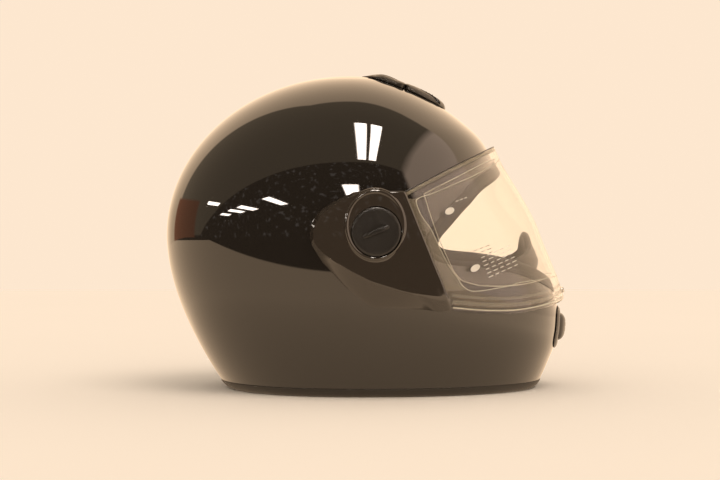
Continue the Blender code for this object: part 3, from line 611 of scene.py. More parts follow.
def shade(made, sharp=SHARP):
    made.data.shade_smooth()
    made.data.set_sharp_from_angle(angle=math.radians(sharp))


def join_cad(made, body, slot, *nodes, sharp=None):
    """Hides the given CAD nodes and attaches a piece to its body, after shading it if a sharp angle is
    given. The slot is not used.
    """
    if sharp is not None:
        shade(made, sharp)
    if nodes:
        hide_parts(*nodes)
    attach(made, body)
    return made


def cut(made, points, faces, operation="DIFFERENCE"):
    other = new_object("helper", points, faces, made.data.materials[0])
    change = made.modifiers.new("cut", "BOOLEAN")
    change.operation = operation
    change.solver = "EXACT"
    change.object = other
    settle(made)
    bpy.data.objects.remove(other)


def round_edges(made, width, segments=3, angle=35.0):
    change = made.modifiers.new("round", "BEVEL")
    change.width = width * MM
    change.segments = segments
    change.limit_method = "ANGLE"
    change.angle_limit = math.radians(angle)
    change.harden_normals = False
    settle(made)


def surface_normals(made, near=0.9):
    """Gives faces that follow the shell its exact direction, so that what they mirror is smooth."""
    mesh = made.data
    shade(made)
    count = len(mesh.loops)
    corner = np.zeros(count * 3, np.float32)
    mesh.corner_normals.foreach_get("vector", corner)
    corner = corner.reshape(-1, 3)
    vertex = np.zeros(count, np.int32)
    mesh.loops.foreach_get("vertex_index", vertex)
    points = np.zeros(len(mesh.vertices) * 3, np.float32)
    mesh.vertices.foreach_get("co", points)
    points = points.reshape(-1, 3)[vertex] / MM
    sizes = np.zeros(len(mesh.polygons), np.int32)
    mesh.polygons.foreach_get("loop_total", sizes)
    flat = np.zeros(len(mesh.polygons) * 3, np.float32)
    mesh.polygons.foreach_get("normal", flat)
    flat = np.repeat(flat.reshape(-1, 3), sizes, axis=0)
    z = np.clip(points[:, 2], 1.0, TOP_Z - 0.3)
    exact = soft_normal(turn_at(points[:, 0], points[:, 1], z), z)
    match = (flat * exact).sum(-1)
    follow = np.abs(match) > near
    crown = points[:, 2] > TOP_Z - 3.5
    follow &= ~crown
    corner[follow] = exact[follow] * np.sign(match[follow])[:, None]
    mesh.normals_split_custom_set(corner.tolist())


def between(outer, inner, wrap=False):
    rows, columns = outer.shape[:2]
    points = np.concatenate([outer.reshape(-1, 3), inner.reshape(-1, 3)])
    behind = rows * columns
    faces = []
    last = rows if wrap else rows - 1
    for i in range(last):
        k = (i + 1) % rows
        for j in range(columns - 1):
            a, b = i * columns + j, i * columns + j + 1
            c, d = k * columns + j + 1, k * columns + j
            faces.append((a, b, c, d))
            faces.append((behind + d, behind + c, behind + b, behind + a))
        for j in (0, columns - 1):
            a, d = i * columns + j, k * columns + j
            faces.append((a, d, behind + d, behind + a))
    if not wrap:
        for i in (0, rows - 1):
            for j in range(columns - 1):
                a, b = i * columns + j, i * columns + j + 1
                faces.append((a, b, behind + b, behind + a))
    return points, faces


def dome(offset_out, offset_in, foot_out, foot_in, turns, levels):
    """A cap of the shell's shape between two offsets, open below, with a point at the top."""
    around_ = np.linspace(0, 2 * math.pi, turns, endpoint=False)
    grids = []
    for offset, foot in ((offset_out, foot_out), (offset_in, foot_in)):
        low = np.linspace(foot, WIDEST_Z, max(2, round(levels * 0.4)), endpoint=False)
        lift = np.linspace(0, math.radians(87), levels - len(low))
        z = np.concatenate([low, WIDEST_Z + (TOP_Z - WIDEST_Z) * np.sin(lift)])
        grids.append(shell_at(around_[:, None], z[None, :], offset))
    points, faces = between(grids[0], grids[1], wrap=True)
    count = turns * levels
    kept = []
    for face in faces:
        top = all((i % count) % levels == levels - 1 for i in face)
        if not (top and min(face) < count <= max(face)):
            kept.append(face)
    points = np.concatenate([points, [(TOP_X, 0, TOP_Z + offset_out), (TOP_X, 0, TOP_Z + offset_in)]])
    for layer in (0, 1):
        for i in range(turns):
            a = layer * count + i * levels + levels - 1
            b = layer * count + ((i + 1) % turns) * levels + levels - 1
            kept.append((a, b, 2 * count + layer))
    return points, kept


def along_path(sections, closed):
    sections = np.array(sections, float)
    stations, corners = sections.shape[:2]
    faces = []
    for i in range(stations if closed else stations - 1):
        k = (i + 1) % stations
        for j in range(corners):
            m = (j + 1) % corners
            faces.append((i * corners + j, i * corners + m, k * corners + m, k * corners + j))
    if not closed:
        faces.append(tuple(range(corners)))
        faces.append(tuple((stations - 1) * corners + j for j in range(corners)))
    return sections.reshape(-1, 3), faces


def reach_of_outline(outline, center, angles):
    outline = np.array(outline, float) - np.array(center, float)
    found = []
    for angle in angles:
        ray = np.array([math.cos(angle), math.sin(angle)])
        best = 0.0
        for p, q in zip(outline, np.roll(outline, -1, axis=0)):
            edge = q - p
            cross = ray[0] * edge[1] - ray[1] * edge[0]
            if abs(cross) < 1e-9:
                continue
            t = (p[0] * edge[1] - p[1] * edge[0]) / cross
            s = (p[0] * ray[1] - p[1] * ray[0]) / cross
            if t > 0 and -1e-9 <= s <= 1 + 1e-9:
                best = max(best, t)
        found.append(best)
    return np.array(found)


def soften(values, times):
    """Evens out a closed row of values."""
    for _ in range(times):
        values = 0.5 * values + 0.25 * (np.roll(values, 1) + np.roll(values, -1))
    return values


def plate(center, angles, radii, tops, lows, place):
    """A plate on a surface: rings about a centre, each with its own heights above and below."""
    radii = np.array([np.broadcast_to(r, angles.shape) for r in radii])
    tops = np.array([np.broadcast_to(h, angles.shape) for h in tops])
    lows = np.array([np.broadcast_to(h, angles.shape) for h in lows])
    u = center[0] + radii * np.cos(angles)
    v = center[1] + radii * np.sin(angles)
    rings, count = radii.shape
    mid_u, mid_v = np.array([center[0]]), np.array([center[1]])
    points = [place(u, v, tops).reshape(-1, 3), place(u, v, lows).reshape(-1, 3),
              place(mid_u, mid_v, tops[0, :1]), place(mid_u, mid_v, lows[0, :1])]
    faces = []
    under = rings * count
    for j in range(count):
        k = (j + 1) % count
        for i in range(rings - 1):
            a, b = i * count + j, i * count + k
            c, d = (i + 1) * count + k, (i + 1) * count + j
            faces.append((a, b, c, d))
            faces.append((under + d, under + c, under + b, under + a))
        faces.append((j, k, 2 * under))
        faces.append((under + j, under + k, 2 * under + 1))
        edge = (rings - 1) * count
        faces.append((edge + j, edge + k, under + edge + k, under + edge + j))
    return np.concatenate(points), faces


def around(count):
    return np.linspace(0, 2 * math.pi, count, endpoint=False) + math.pi / count


def domed_plate(center, edge, profile, low, place, angles):
    """A plate whose height follows a profile of pairs: share of the way out and height."""
    shares, heights = np.array(profile, float).T
    radii = [edge * s for s in shares]
    return plate(center, angles, radii, list(heights), [low] * len(shares), place)


def box(low, high, axes=None, center=(0.0, 0.0, 0.0)):
    axes = np.eye(3) if axes is None else np.array(axes, float)
    points = []
    for x in (low[0], high[0]):
        for y in (low[1], high[1]):
            for z in (low[2], high[2]):
                points.append(np.array([x, y, z]) @ axes + np.array(center))
    faces = [(0, 1, 3, 2), (4, 6, 7, 5), (0, 4, 5, 1), (2, 3, 7, 6), (0, 2, 6, 4), (1, 5, 7, 3)]
    return points, faces


def rod(center, radius, start, end, axes=None, count=48):
    axes = np.eye(3) if axes is None else np.array(axes, float)
    sections = []
    for y in (start, end):
        flat = [(radius * math.cos(a), y, radius * math.sin(a)) for a in around(count)]
        sections.append(np.array(flat) @ axes + np.array(center))
    return along_path(sections, closed=False)


def side_prism(outline):
    sections = [[(x, y, z) for x, z in outline] for y in (-200.0, 200.0)]
    return along_path(sections, closed=False)


def tube(points, radius, sides=8, closed=True, flat=1.0, out=None):
    """A thin bead along a line of points."""
    points = np.array(points, float)
    if closed:
        ahead = np.roll(points, -1, axis=0) - np.roll(points, 1, axis=0)
    else:
        ahead = np.gradient(points, axis=0)
    ahead /= np.linalg.norm(ahead, axis=1, keepdims=True)
    if out is None:
        out = np.broadcast_to([0.0, 0.0, 1.0], points.shape)
    side = np.cross(ahead, out)
    side /= np.linalg.norm(side, axis=1, keepdims=True)
    lift = np.cross(side, ahead)
    angles = np.linspace(0, 2 * math.pi, sides, endpoint=False)
    sections = points[:, None] + radius * (np.cos(angles)[None, :, None] * side[:, None]
                                           + flat * np.sin(angles)[None, :, None] * lift[:, None])
    return along_path(sections, closed)


# Shell, trim and eye port

def side_turn(x, z):
    return float(turn_on_side(np.array(float(x)), np.array(float(z))))


def closed_curve(knots, each):
    """A smooth closed line through the knots, with so many points for each of them."""
    loop = []
    for i in range(len(knots)):
        p0, p1, p2, p3 = (knots[(i + k) % len(knots)] for k in (-1, 0, 1, 2))
        for t in np.arange(each) / each:
            bend = 2 * p0 - 5 * p1 + 4 * p2 - p3
            loop.append(p1 + 0.5 * t * (p2 - p0 + t * (bend + t * (3 * (p1 - p2) + p3 - p0))))
    return np.array(loop)


def port_loop(stations):
    side = [(side_turn(x, z), z) for x, z in PORT_SIDE]
    knots = [(0.0, PORT_TOP_Z)] + side + [(0.0, PORT_BOTTOM_Z)]
    knots += [(-turn, z) for turn, z in reversed(side)]
    loop = closed_curve(np.array(knots, float), 24)
    loop = np.concatenate([loop, loop[:1]])
    edge = shell_at(loop[:, 0], loop[:, 1])
    steps = np.linalg.norm(np.diff(edge, axis=0), axis=1)
    along = np.concatenate([[0.0], np.cumsum(steps)])
    even = np.linspace(0.0, along[-1], stations, endpoint=False)
    return np.stack([np.interp(even, along, loop[:, i]) for i in (0, 1)], -1)


def port_sections(profile, stations):
    loop = port_loop(stations)
    edge = shell_at(loop[:, 0], loop[:, 1])
    ahead = np.roll(edge, -1, axis=0) - np.roll(edge, 1, axis=0)
    ahead /= np.linalg.norm(ahead, axis=1, keepdims=True)
    out = normal(loop[:, 0], loop[:, 1])
    inward = np.cross(out, ahead)
    to_middle = np.array([PORT_APEX]) + np.array([[80.0, 0.0, 0.0]]) - edge
    inward *= np.sign((inward * to_middle).sum(axis=1, keepdims=True))
    sections = []
    for into, height in profile:
        moved = edge + into * inward
        turn = turn_at(moved[:, 0], moved[:, 1], moved[:, 2])
        base = shell_at(turn, moved[:, 2])
        radial = base - np.array([PORT_APEX])
        radial /= np.linalg.norm(radial, axis=1, keepdims=True)
        lift = radial if into > 0 else normal(turn, moved[:, 2])
        sections.append(base + height * lift)
    return np.array(sections).transpose(1, 0, 2)


def port_cone(stations):
    loop = port_loop(stations)
    apex = np.array(PORT_APEX)
    far = apex + 1.4 * (shell_at(loop[:, 0], loop[:, 1]) - apex)
    points = np.concatenate([[apex, (260.0, 0.0, 120.0)], far])
    faces = []
    for i in range(len(far)):
        k = (i + 1) % len(far)
        faces.append((0, 2 + i, 2 + k))
        faces.append((1, 2 + k, 2 + i))
    return points, faces


def add_shell(looks):
    shell = new_object("shell", *dome(0.0, -SHELL_WALL, SHELL_FOOT_Z, SHELL_FOOT_Z, 240, 110),
                       looks["shell"])
    cut(shell, *port_cone(200))
    cut(shell, *box(*CHIN_HOLE))
    surface_normals(shell)
    join_cad(shell, "helmet", "shell_gloss", "outer_shell")


def add_port_seal(looks):
    profile = ((-8.0, 0.45), (-8.0, 0.8), (-7.2, 1.1), (-5.0, 1.3), (-4.4, 1.05), (-3.6, 1.05),
               (-3.0, 1.3), (0.4, 1.3), (1.6, 1.15), (2.4, 0.5), (2.4, -5.0), (0.6, -5.0),
               (0.6, 0.45))
    seal = new_object("eye_port_gasket", *along_path(port_sections(profile, 300), closed=True),
                      looks["rubber"])
    join_cad(seal, "helmet", "black_rubber", "eye_port_seal", sharp=50.0)


def add_base_trim(looks):
    profile = ((0.1, 6.4), (0.45, 6.2), (0.6, 5.4), (0.5, 4.0), (0.0, 2.4), (-1.0, 1.0), (-2.4, 0.0),
               (-6.2, 0.0), (-7.0, 0.5), (-7.2, 1.4), (-7.0, 8.4), (-6.6, 9.0), (-5.7, 9.0),
               (-5.5, 8.0), (-5.4, 4.0), (0.1, 4.0))
    sections = []
    for turn in np.linspace(0, 2 * math.pi, 240, endpoint=False):
        across = ring(turn + 1e-3, np.array(5.0)) - ring(turn - 1e-3, np.array(5.0))
        out = np.array([across[1], -across[0], 0.0])
        out /= np.linalg.norm(out)
        sections.append([ring(np.array(turn), np.array(z)) + off * out for off, z in profile])
    trim = new_object("base_edge_trim", *along_path(sections, closed=True), looks["rubber"])
    join_cad(trim, "helmet", "black_rubber", "base_trim", sharp=60.0)


def add_breath_guard(looks):
    u = np.linspace(-1, 1, 101)[:, None]
    v = np.linspace(0, 1, 41)[None, :]
    z = 62.0 + v * (66.0 - 24.0 * np.abs(u) ** 2.2)
    y = u * (38.0 + 30.0 * smooth((116.0 - z) / 12.0) * smooth((z - 80.0) / 18.0))
    edge = 1.0 - smooth((1.0 - np.maximum(np.abs(u) + 0.0 * v, np.abs(2 * v - 1.0))) / 0.06)
    rib = 0.35 * smooth((np.abs(np.sin(v * 9.0)) - 0.8) / 0.2)
    ahead = smooth((z - 92.0) / 14.0) * (1.0 - u**4)
    front = front_at(y, z, -8.6 + 6.0 * ahead - (0.5 + 1.6 * ahead) * edge - rib)
    back = front_at(y, z, -11.0 + 3.0 * ahead + (0.5 + 1.6 * ahead) * edge)
    guard = new_object("nose_breath_guard", *between(front, back), looks["rubber"])
    join_cad(guard, "helmet", "black_rubber", "breath_guard", sharp=50.0)


# Vents

def superellipse(half_u, half_v, power, angles):
    parts = np.abs(np.cos(angles) / half_u) ** power + np.abs(np.sin(angles) / half_v) ** power
    return parts ** (-1.0 / power)


def add_chin_vent(looks):
    angles = around(160)
    wide = superellipse(31.0, 17.0, 3.2, angles)
    profile = [(0.3, 1.8), (0.6, 1.8), (0.8, 1.8), (0.88, 1.7), (0.94, 1.4), (0.98, 1.0), (1.0, 0.7)]
    vent = new_object("chin_vent_surround", *domed_plate((0.0, 48.5), wide, profile, 0.5,
                                                          front_at, angles), looks["vent"])
    hole = superellipse(22.0, 12.3, 5.0, angles)
    cut(vent, *plate((0.0, 49.0), angles, [hole * 0.5, hole], [9.0] * 2, [-3.0] * 2, front_at))
    round_edges(vent, 0.35, 2)
    join_cad(vent, "helmet", "satin_plastic", "chin_vent_frame", sharp=SHARP)
    radius = superellipse(20.8, 10.7, 5.0, angles)
    profile = [(0.2, 5.9), (0.45, 5.7), (0.62, 5.2), (0.78, 4.4), (0.86, 3.8), (0.92, 3.2),
               (0.97, 2.4), (1.0, 1.6)]
    flap = new_object("chin_vent_shutter", *domed_plate((0.0, 49.0), radius, profile, 0.9,
                                                         front_at, angles), looks["vent"])
    for z in (45.2, 49.0, 52.8):
        groove = superellipse(13.0, 0.55, 4.0, angles)
        cut(flap, *plate((0.0, z), angles, [groove * 0.5, groove], [9.0] * 2, [4.4] * 2, front_at))
    join_cad(flap, "chin_flap", "satin_plastic", "chin_vent_flap", sharp=SHARP)


def vent_frame():
    place = np.array(46.0), np.array(0.0)
    base = top_at(*place, np.array(0.0))
    out = top_at(*place, np.array(1.0)) - base
    left = np.array([0.0, 1.0, 0.0])
    return (np.cross(left, out), left, out), base


def add_top_vent(looks):
    angles = around(160)
    outline = ((64, 0), (62.5, 12), (58, 22), (50, 28.5), (40, 31), (33, 31), (31, 28), (30.2, 0),
               (31, -28), (33, -31), (40, -31), (50, -28.5), (58, -22), (62.5, -12))
    edge = soften(reach_of_outline(outline, (46.0, 0.0), angles), 3)
    shares = (0.2, 0.4, 0.6, 0.72, 0.84, 0.92, 0.97, 1.0)
    rear = smooth((36.0 - 46.0 - edge * np.cos(angles)) / 5.0)
    tops = [5.1, 5.05, 4.9, 4.7, 4.2 + 0.4 * rear, 3.4 + 1.1 * rear, 2.4 + 2.0 * rear,
            1.4 + 2.6 * rear]
    housing = new_object("top_vent_cowl", *plate((46.0, 0.0), angles, [edge * s for s in shares],
                                                 tops, [0.5] * 8, top_at), looks["vent"])
    axes, center = vent_frame()
    cut(housing, *box((-8.6, -9, 2.4), (8.6, 9, 9), axes, center))
    for side in (RIGHT, LEFT):
        slot = superellipse(8.5, 3.2, 4.0, angles)
        cut(housing, *plate((50.0, side * 21.0), angles, [slot * 0.5, slot], [9.0] * 2, [1.6] * 2,
                            top_at))
    round_edges(housing, 0.35, 2)
    join_cad(housing, "helmet", "shell_gloss", "top_vent_housing", sharp=SHARP)
    slider = new_object("top_vent_slide_button", *box((-1.6, -8.4, 2.8), (8.0, 8.4, 4.7), axes,
                                                      center), looks["satin"])
    for at in (0.0, 2.8, 5.6):
        cut(slider, *box((at, -7.0, 4.3), (at + 1.2, 7.0, 5.5), axes, center), operation="UNION")
    round_edges(slider, 0.3, 2)
    join_cad(slider, "vent_slider", "satin_plastic", "top_vent_slider", sharp=SHARP)
    outline = ((30.0, 0), (30.3, 28), (28.5, 31), (18, 30), (8, 24), (0, 14), (-3.5, 5), (-4, 0),
               (-3.5, -5), (0, -14), (8, -24), (18, -30), (28.5, -31), (30.3, -28))
    edge = soften(reach_of_outline(outline, (16.0, 0.0), angles), 3)
    shares = np.array([0.2, 0.35, 0.55, 0.7, 0.82, 0.9, 0.96, 1.0])[:, None]
    fall_off = np.array([0.0, 0.0, 0.0, 0.05, 0.15, 0.5, 1.2, 2.4])[:, None]
    front = smooth((16.0 + edge * np.cos(angles) - 22.0) / 6.0)
    swell = 3.0 * smooth((20.0 + shares * edge * np.cos(angles)) / 19.0)
    tops = 1.4 + swell - np.minimum(fall_off * (1.0 - 0.75 * front), 0.5 + 0.6 * swell)
    fairing = new_object("top_vent_exhaust", *plate((16.0, 0.0), angles, list(edge * shares),
                                                    tops, [0.5] * 8, top_at), looks["vent"])
    for side in (RIGHT, LEFT):
        slot = superellipse(7.0, 2.6, 4.0, angles)
        cut(fairing, *plate((17.0, side * 19.0), angles, [slot * 0.5, slot], [9.0] * 2, [1.6] * 2,
                            top_at))
    join_cad(fairing, "helmet", "shell_gloss", "top_vent_fairing", sharp=SHARP)


# Visor

def visor_top(x):
    crest = PIVOT_Z + np.sqrt(np.clip(EAR_RADIUS**2 - (x - PIVOT_X) ** 2, 0.0, None))
    neck = 149.5 + (x - 10.0) / 16.3 * 4.5
    return np.where(x > 26.3, 154.0 + (x - 26.3) * 0.535, np.where(x > 6.0, neck, np.maximum(
        crest, np.where(x > PIVOT_X, 149.0, 0.0))))


def visor_bottom(x):
    lip = through_knots(((62.9, 67.0), (85, 64.6), (110, 63.6), (135, 66.0), (160, 71.6)), x)
    back = 67.0 + (62.9 - x) / 54.9 * 50.0
    ear = PIVOT_Z - np.sqrt(np.clip(EAR_RADIUS**2 - (x - PIVOT_X) ** 2, 0.0, None))
    return np.where(x > 62.9, lip, np.where(x > 8.0, back, ear))


def visor_standoff(turn, z):
    return VISOR_STANDOFF + 1.2 * smooth((128.0 - z) / 50.0) * np.cos(turn) ** 2


def height_where(turn, limit):
    low = np.full(np.shape(turn), 45.0)
    high = np.full(np.shape(turn), 215.0)
    for _ in range(HALVINGS):
        z = 0.5 * (low + high)
        below = z < limit(ring(turn, z)[..., 0])
        low = np.where(below, z, low)
        high = np.where(below, high, z)
    return low


def visor_turns():
    marks = np.concatenate([[-18.3, -17.5, -16.5, -14.5, -12.5, -10.5, -8.0, -6.0, -3.7, -1.5, 1.0,
                             3.5, 6.2, 9.0, 12.0, 15.5, 19.0, 22.5], np.linspace(26.3, 63, 16)])
    side = turn_on_side(marks, np.full(marks.shape, 125.0))
    front = np.linspace(side[-1], 0.0, 42)[1:]
    half = np.concatenate([side, front])
    return np.concatenate([half, -half[-2::-1]])


def visor_body(turns, shares, inner, outer):
    """The visor between two heights, each a function of the share of the way up."""
    top = height_where(turns, visor_top)
    bottom = height_where(turns, visor_bottom)
    z = bottom[:, None] + (top - bottom)[:, None] * shares[None, :]
    grid = turns[:, None] + 0.0 * z
    off = visor_standoff(grid, z)
    low = shell_at(grid, z, off + inner[None, :])
    high = shell_at(grid, z, off + outer[None, :])
    return between(high, low)


def add_visor(looks):
    shares = np.array([0.0, 0.004, 0.01, 0.03, 0.045, 0.05, *np.linspace(0.08, 0.95, 26), 0.975,
                       0.988, 0.995, 1.0])
    inner = np.interp(shares, [0, 0.01, 0.99, 1.0], [0.35, 0.0, 0.0, 0.35])
    outer = np.interp(shares, [0, 0.01, 0.03, 0.05, 0.95, 0.985, 0.995, 1.0],
                      [-0.3, 0.25, 0.3, 0.0, 0.0, 0.45, 0.35, -0.2]) + VISOR_WALL
    visor = new_object("visor_lens", *visor_body(visor_turns(), shares, inner, outer),
                       looks["clear"])
    cut(visor, *rod((PIVOT_X, 0.0, PIVOT_Z), HUB_RADIUS + 0.6, -160, 160))
    surface_normals(visor, near=0.985)
    join_cad(visor, "visor_group", "clear", "visor")
    add_insert(looks)
    add_tab(looks)


def add_insert(looks):
    rear = ((85.5, 82.0), (87.0, 74.1), (89.2, 68.9), (96.5, 63.1), (111.2, 56.4), (120.8, 52.0),
            (130.7, 48.4), (141.4, 44.7), (153.8, 41.0), (158.0, 40.4))
    heights = [z for z, _ in rear]
    ends = [side_turn(x, z) for z, x in rear]
    u = np.linspace(-1, 1, 121)[:, None]
    share = np.linspace(0, 1, 41)[None, :]
    turns = u * math.radians(68.0) + 0.0 * share
    for _ in range(12):
        top = height_where(turns, visor_top) - 8.0
        bottom = height_where(turns, visor_bottom) + 20.5
        z = bottom + (top - bottom) * share
        turns = u * np.interp(z, heights, ends)
    off = visor_standoff(turns, z)
    points, faces = between(shell_at(turns, z, off - 0.75), shell_at(turns, z, off - 1.35))
    insert = new_object("antifog_lens", points, faces, looks["insert"])
    surface_normals(insert, near=0.985)
    join_cad(insert, "visor_group", "clear", "antifog_insert")
    rim = [(turns[i, 0], z[i, 0]) for i in range(121)]
    rim += [(turns[-1, j], z[-1, j]) for j in range(1, 41)]
    rim += [(turns[i, -1], z[i, -1]) for i in range(119, -1, -1)]
    rim += [(turns[0, j], z[0, j]) for j in range(39, 0, -1)]
    bead_along(looks, "antifog_edge_bead", rim, -0.4, 0.35, "edge", True)


def bead_along(looks, name, line, height, radius, look, closed, flat=0.5):
    """A bead that follows the visor through pairs of turn and height, above its inner face."""
    turn, z = np.array(line, float).T
    points = shell_at(turn, z, visor_standoff(turn, z) + height)
    bead = new_object(name, *tube(points, radius, closed=closed, flat=flat, out=normal(turn, z)),
                      looks[look])
    join_cad(bead, "visor_group", "clear", sharp=80.0)


FILM_SIDE = ((95.4, 175.9), (70.4, 162.7), (45.8, 152.4), (37.3, 149.6), (35.1, 146.5), (38.8, 136.9),
             (45.8, 127.0), (50.6, 117.1), (57.9, 102.4), (65.3, 91.4), (70.4, 84.4), (77.8, 81.1),
             (94.7, 82.6), (106.4, 84.4), (118.9, 86.5))


def add_film(looks):
    """The edges of the protective film, the rims of the visor, and two bands of painted reflection along
    its lower front.
    """
    half = [(0.0, 184.0)] + [(side_turn(x, z), z) for x, z in FILM_SIDE] + [(0.0, 88.5)]
    knots = np.array(half + [(-t, z) for t, z in half[-2:0:-1]])
    bead_along(looks, "film_edge", closed_curve(knots, 10), VISOR_WALL + 0.12, 0.3, "edge", True)
    start = side_turn(24.0, 150.0)
    turns = np.linspace(start, -start, 161)
    top = height_where(turns, visor_top)
    for name, lift, radius, look, flat in (("visor_top_seal", -0.4, 0.45, "satin", 0.8),
                                           ("visor_top_rim", -2.2, 1.3, "rim", 0.1)):
        bead_along(looks, name, np.stack([turns, top + lift], -1), VISOR_WALL + 0.1, radius, look,
                   False, flat)
    start = side_turn(62.5, 70.0)
    turns = np.linspace(start, -start, 161)
    low = height_where(turns, visor_bottom)
    # The foot rim is a bead. The two bands above it are painted reflections on the lower visor.
    for name, lift, radius, look, flat in (("visor_foot_rim", 2.4, 0.6, "edge", 0.5),
                                           ("visor_foot_painted_reflection", 6.6, 1.6, "strip", 0.08),
                                           ("visor_low_painted_reflection", 11.4, 1.2, "strip", 0.08)):
        bead_along(looks, name, np.stack([turns, low + lift], -1), VISOR_WALL + 0.1, radius, look,
                   False, flat)
    add_strips(looks)


def cover_front_x(z):
    """The straight front edge of the side covers, from its top corner to its lowest."""
    top_x, top_z = COVER_OUTLINE[0]
    return top_x + (top_z - z) / 86.7 * 36.0


def add_strips(looks):
    """The frosted strip of the visor between each cover's front edge and the film."""
    edge = np.array([(z, x) for x, z in FILM_SIDE[3:12]])[::-1]
    z = np.linspace(82.0, 149.0, 48)[:, None]
    share = np.linspace(0, 1, 5)[None, :]
    front = np.interp(z, edge[:, 0], edge[:, 1])
    rear = cover_front_x(z) - 3.0
    x = rear + (front - rear) * share
    z = z + 0.0 * x
    for side, name in SIDES:
        height = visor_standoff(turn_on_side(x, z), z) + VISOR_WALL
        strip = new_object("visor_strip_" + name, *between(side_at(side)(x, z, height + 0.16),
                                                           side_at(side)(x, z, height + 0.06)),
                           looks["strip"])
        join_cad(strip, "visor_group", "clear", sharp=60.0)


def add_marks(looks):
    """Blank ovals and plain dashes printed on the visor's film."""
    count = 0
    for side, _ in SIDES:
        place = side_at(side)
        for x, z, half_u, half_v, tilt in ((59.5, 140.0, 3.6, 2.4, 24), (78.7, 98.0, 3.8, 2.4, 30)):
            add_mark(looks, place, count, (x, z), half_u, half_v, tilt, 2.0)
            count += 1
        dashes = [(65.0 + 3.2 * step, 147.2 + 1.2 * step, 1.1) for step in range(3)]
        for row in range(6):
            for step in range(5):
                dashes.append((84.5 + 4.9 * step + 1.2 * row, 106.0 - 2.9 * row + 1.9 * step,
                               1.5 + 0.35 * ((row + step) % 3)))
        for x, z, half in dashes:
            add_mark(looks, place, count, (x, z), half, 0.3, 21, 6.0)
            count += 1


def add_mark(looks, place, index, center, half_u, half_v, tilt, power):
    angles = around(28)
    radius = superellipse(half_u, half_v, power, angles - math.radians(tilt))

    def on_visor(x, z, h):
        turn = turn_on_side(x, z)
        return place(x, z, visor_standoff(turn, z) + VISOR_WALL + h)

    points, faces = plate(center, angles, [radius * 0.5, radius], [0.16] * 2, [0.05] * 2, on_visor)
    mark = new_object(f"film_mark_{index}", points, faces, looks["print"])
    join_cad(mark, "visor_group", "clear", sharp=80.0)


def add_tab(looks):
    angles = around(80)
    radius = superellipse(10.0, 2.3, 4.0, angles)
    low = float(visor_standoff(0.0, np.array(76.0))) + VISOR_WALL + 0.35
    profile = [(0.3, low + 1.75), (0.6, low + 1.9), (0.85, low + 1.8), (0.95, low + 1.4),
               (1.0, low + 0.9)]
    tab = new_object("visor_thumb_tab", *domed_plate((0.0, 76.4), radius, profile, low, front_at,
                                                      angles), looks["clear"])
    join_cad(tab, "visor_group", "clear", "visor_tab", sharp=60.0)


# Hinge, covers and knobs

def add_covers(looks):
    for side, name in SIDES:
        angles = np.linspace(0, 2 * math.pi, 360, endpoint=False)
        boss = superellipse(*BOSS_HALF, 2.0, angles)
        facet = soften(reach_of_outline(COVER_FACET, BOSS, angles), 4)
        facet = np.maximum(facet, boss + 0.5)
        outline = soften(reach_of_outline(COVER_OUTLINE, BOSS, angles), 4)
        outline = np.maximum(outline, facet + 0.9)
        band = outline - facet
        face = facet - boss
        x = BOSS[0] + outline * np.cos(angles)
        z = BOSS[1] + outline * np.sin(angles)
        edge = cover_front_x(z)
        lifted = (x > 46.0) | ((z > 140.0) & (x > -12.0)) | ((x > edge - 1.5) & (z > 60.0))
        lifted = soften(lifted.astype(float), 6)
        low = 0.6 + (COVER_LOW - 0.6) * lifted
        rim = 1.6 + (COVER_TOP - 0.9 - 1.6) * lifted
        drop = COVER_TOP - rim
        rings = [(boss * s, BOSS_TOP + h, 0.0) for s, h in BOSS_PROFILE]
        rings += [(boss + 0.03 * face, COVER_TOP - 0.1, 0.0)]
        rings += [(boss + s * face, COVER_TOP - 0.1, 0.0) for s in np.linspace(0.1, 0.9, 12)]
        rings += [(boss + 0.96 * face, COVER_TOP, 0.0), (facet, COVER_TOP - 0.05, 0.0),
                  (facet + 0.08 * band, COVER_TOP - 0.09 * drop, 0.1),
                  (facet + 0.35 * band, COVER_TOP - 0.33 * drop, 0.4),
                  (facet + 0.7 * band, COVER_TOP - 0.68 * drop, 0.75),
                  (facet + 0.88 * band, rim + 0.12 * drop, 0.92),
                  (facet + 0.96 * band, rim + 0.02 * drop, 1.0), (outline, rim - 0.4, 1.0)]
        radii = np.array([ring[0] for ring in rings])
        share = np.array([ring[2] for ring in rings])[:, None]
        swell = FACE_SWELL * smooth((105.0 - BOSS[1] - radii * np.sin(angles)) / 30.0)
        tops = np.array([ring[1] + 0.0 * angles for ring in rings]) + swell * (1.0 - share)
        lows = COVER_LOW + (low - COVER_LOW) * share
        lows += 0.2 * smooth((BOSS[1] + radii * np.sin(angles) - 146.0) / 6.0)
        cover = new_object("cover_" + name, *plate(BOSS, angles, radii, tops, lows, side_at(side)),
                           looks["cover"])
        axes, middle = knob_frame(side)
        cut(cover, *rod(middle, KNOB_RADIUS + 0.55, -14.0, 10.0, axes, 96))
        join_cad(cover, "helmet", "cover_smoked", "side_cover_" + name, sharp=42.0)


def knob_frame(side):
    at = np.array(KNOB[0]), np.array(KNOB[1])
    middle = side_at(side)(*at, COVER_TOP)
    out = middle - side_at(side)(*at, COVER_TOP - 1.0)
    level = np.cross(out, [0.0, 0.0, 1.0])
    level *= np.sign(level[0]) / np.linalg.norm(level)
    up = np.cross(level, out)
    up *= np.sign(up[2])
    along = math.cos(KNOB_BAR_TILT) * level + math.sin(KNOB_BAR_TILT) * up
    across = math.cos(KNOB_BAR_TILT) * up - math.sin(KNOB_BAR_TILT) * level
    return (along, out, across), middle


def crowned(axes, middle):
    def place(u, v, h):
        drop = (u**2 + v**2) / (2.0 * DOME_RADIUS)
        return middle + u[..., None] * axes[0] + v[..., None] * axes[2] + (h - drop)[..., None] * axes[1]
    return place


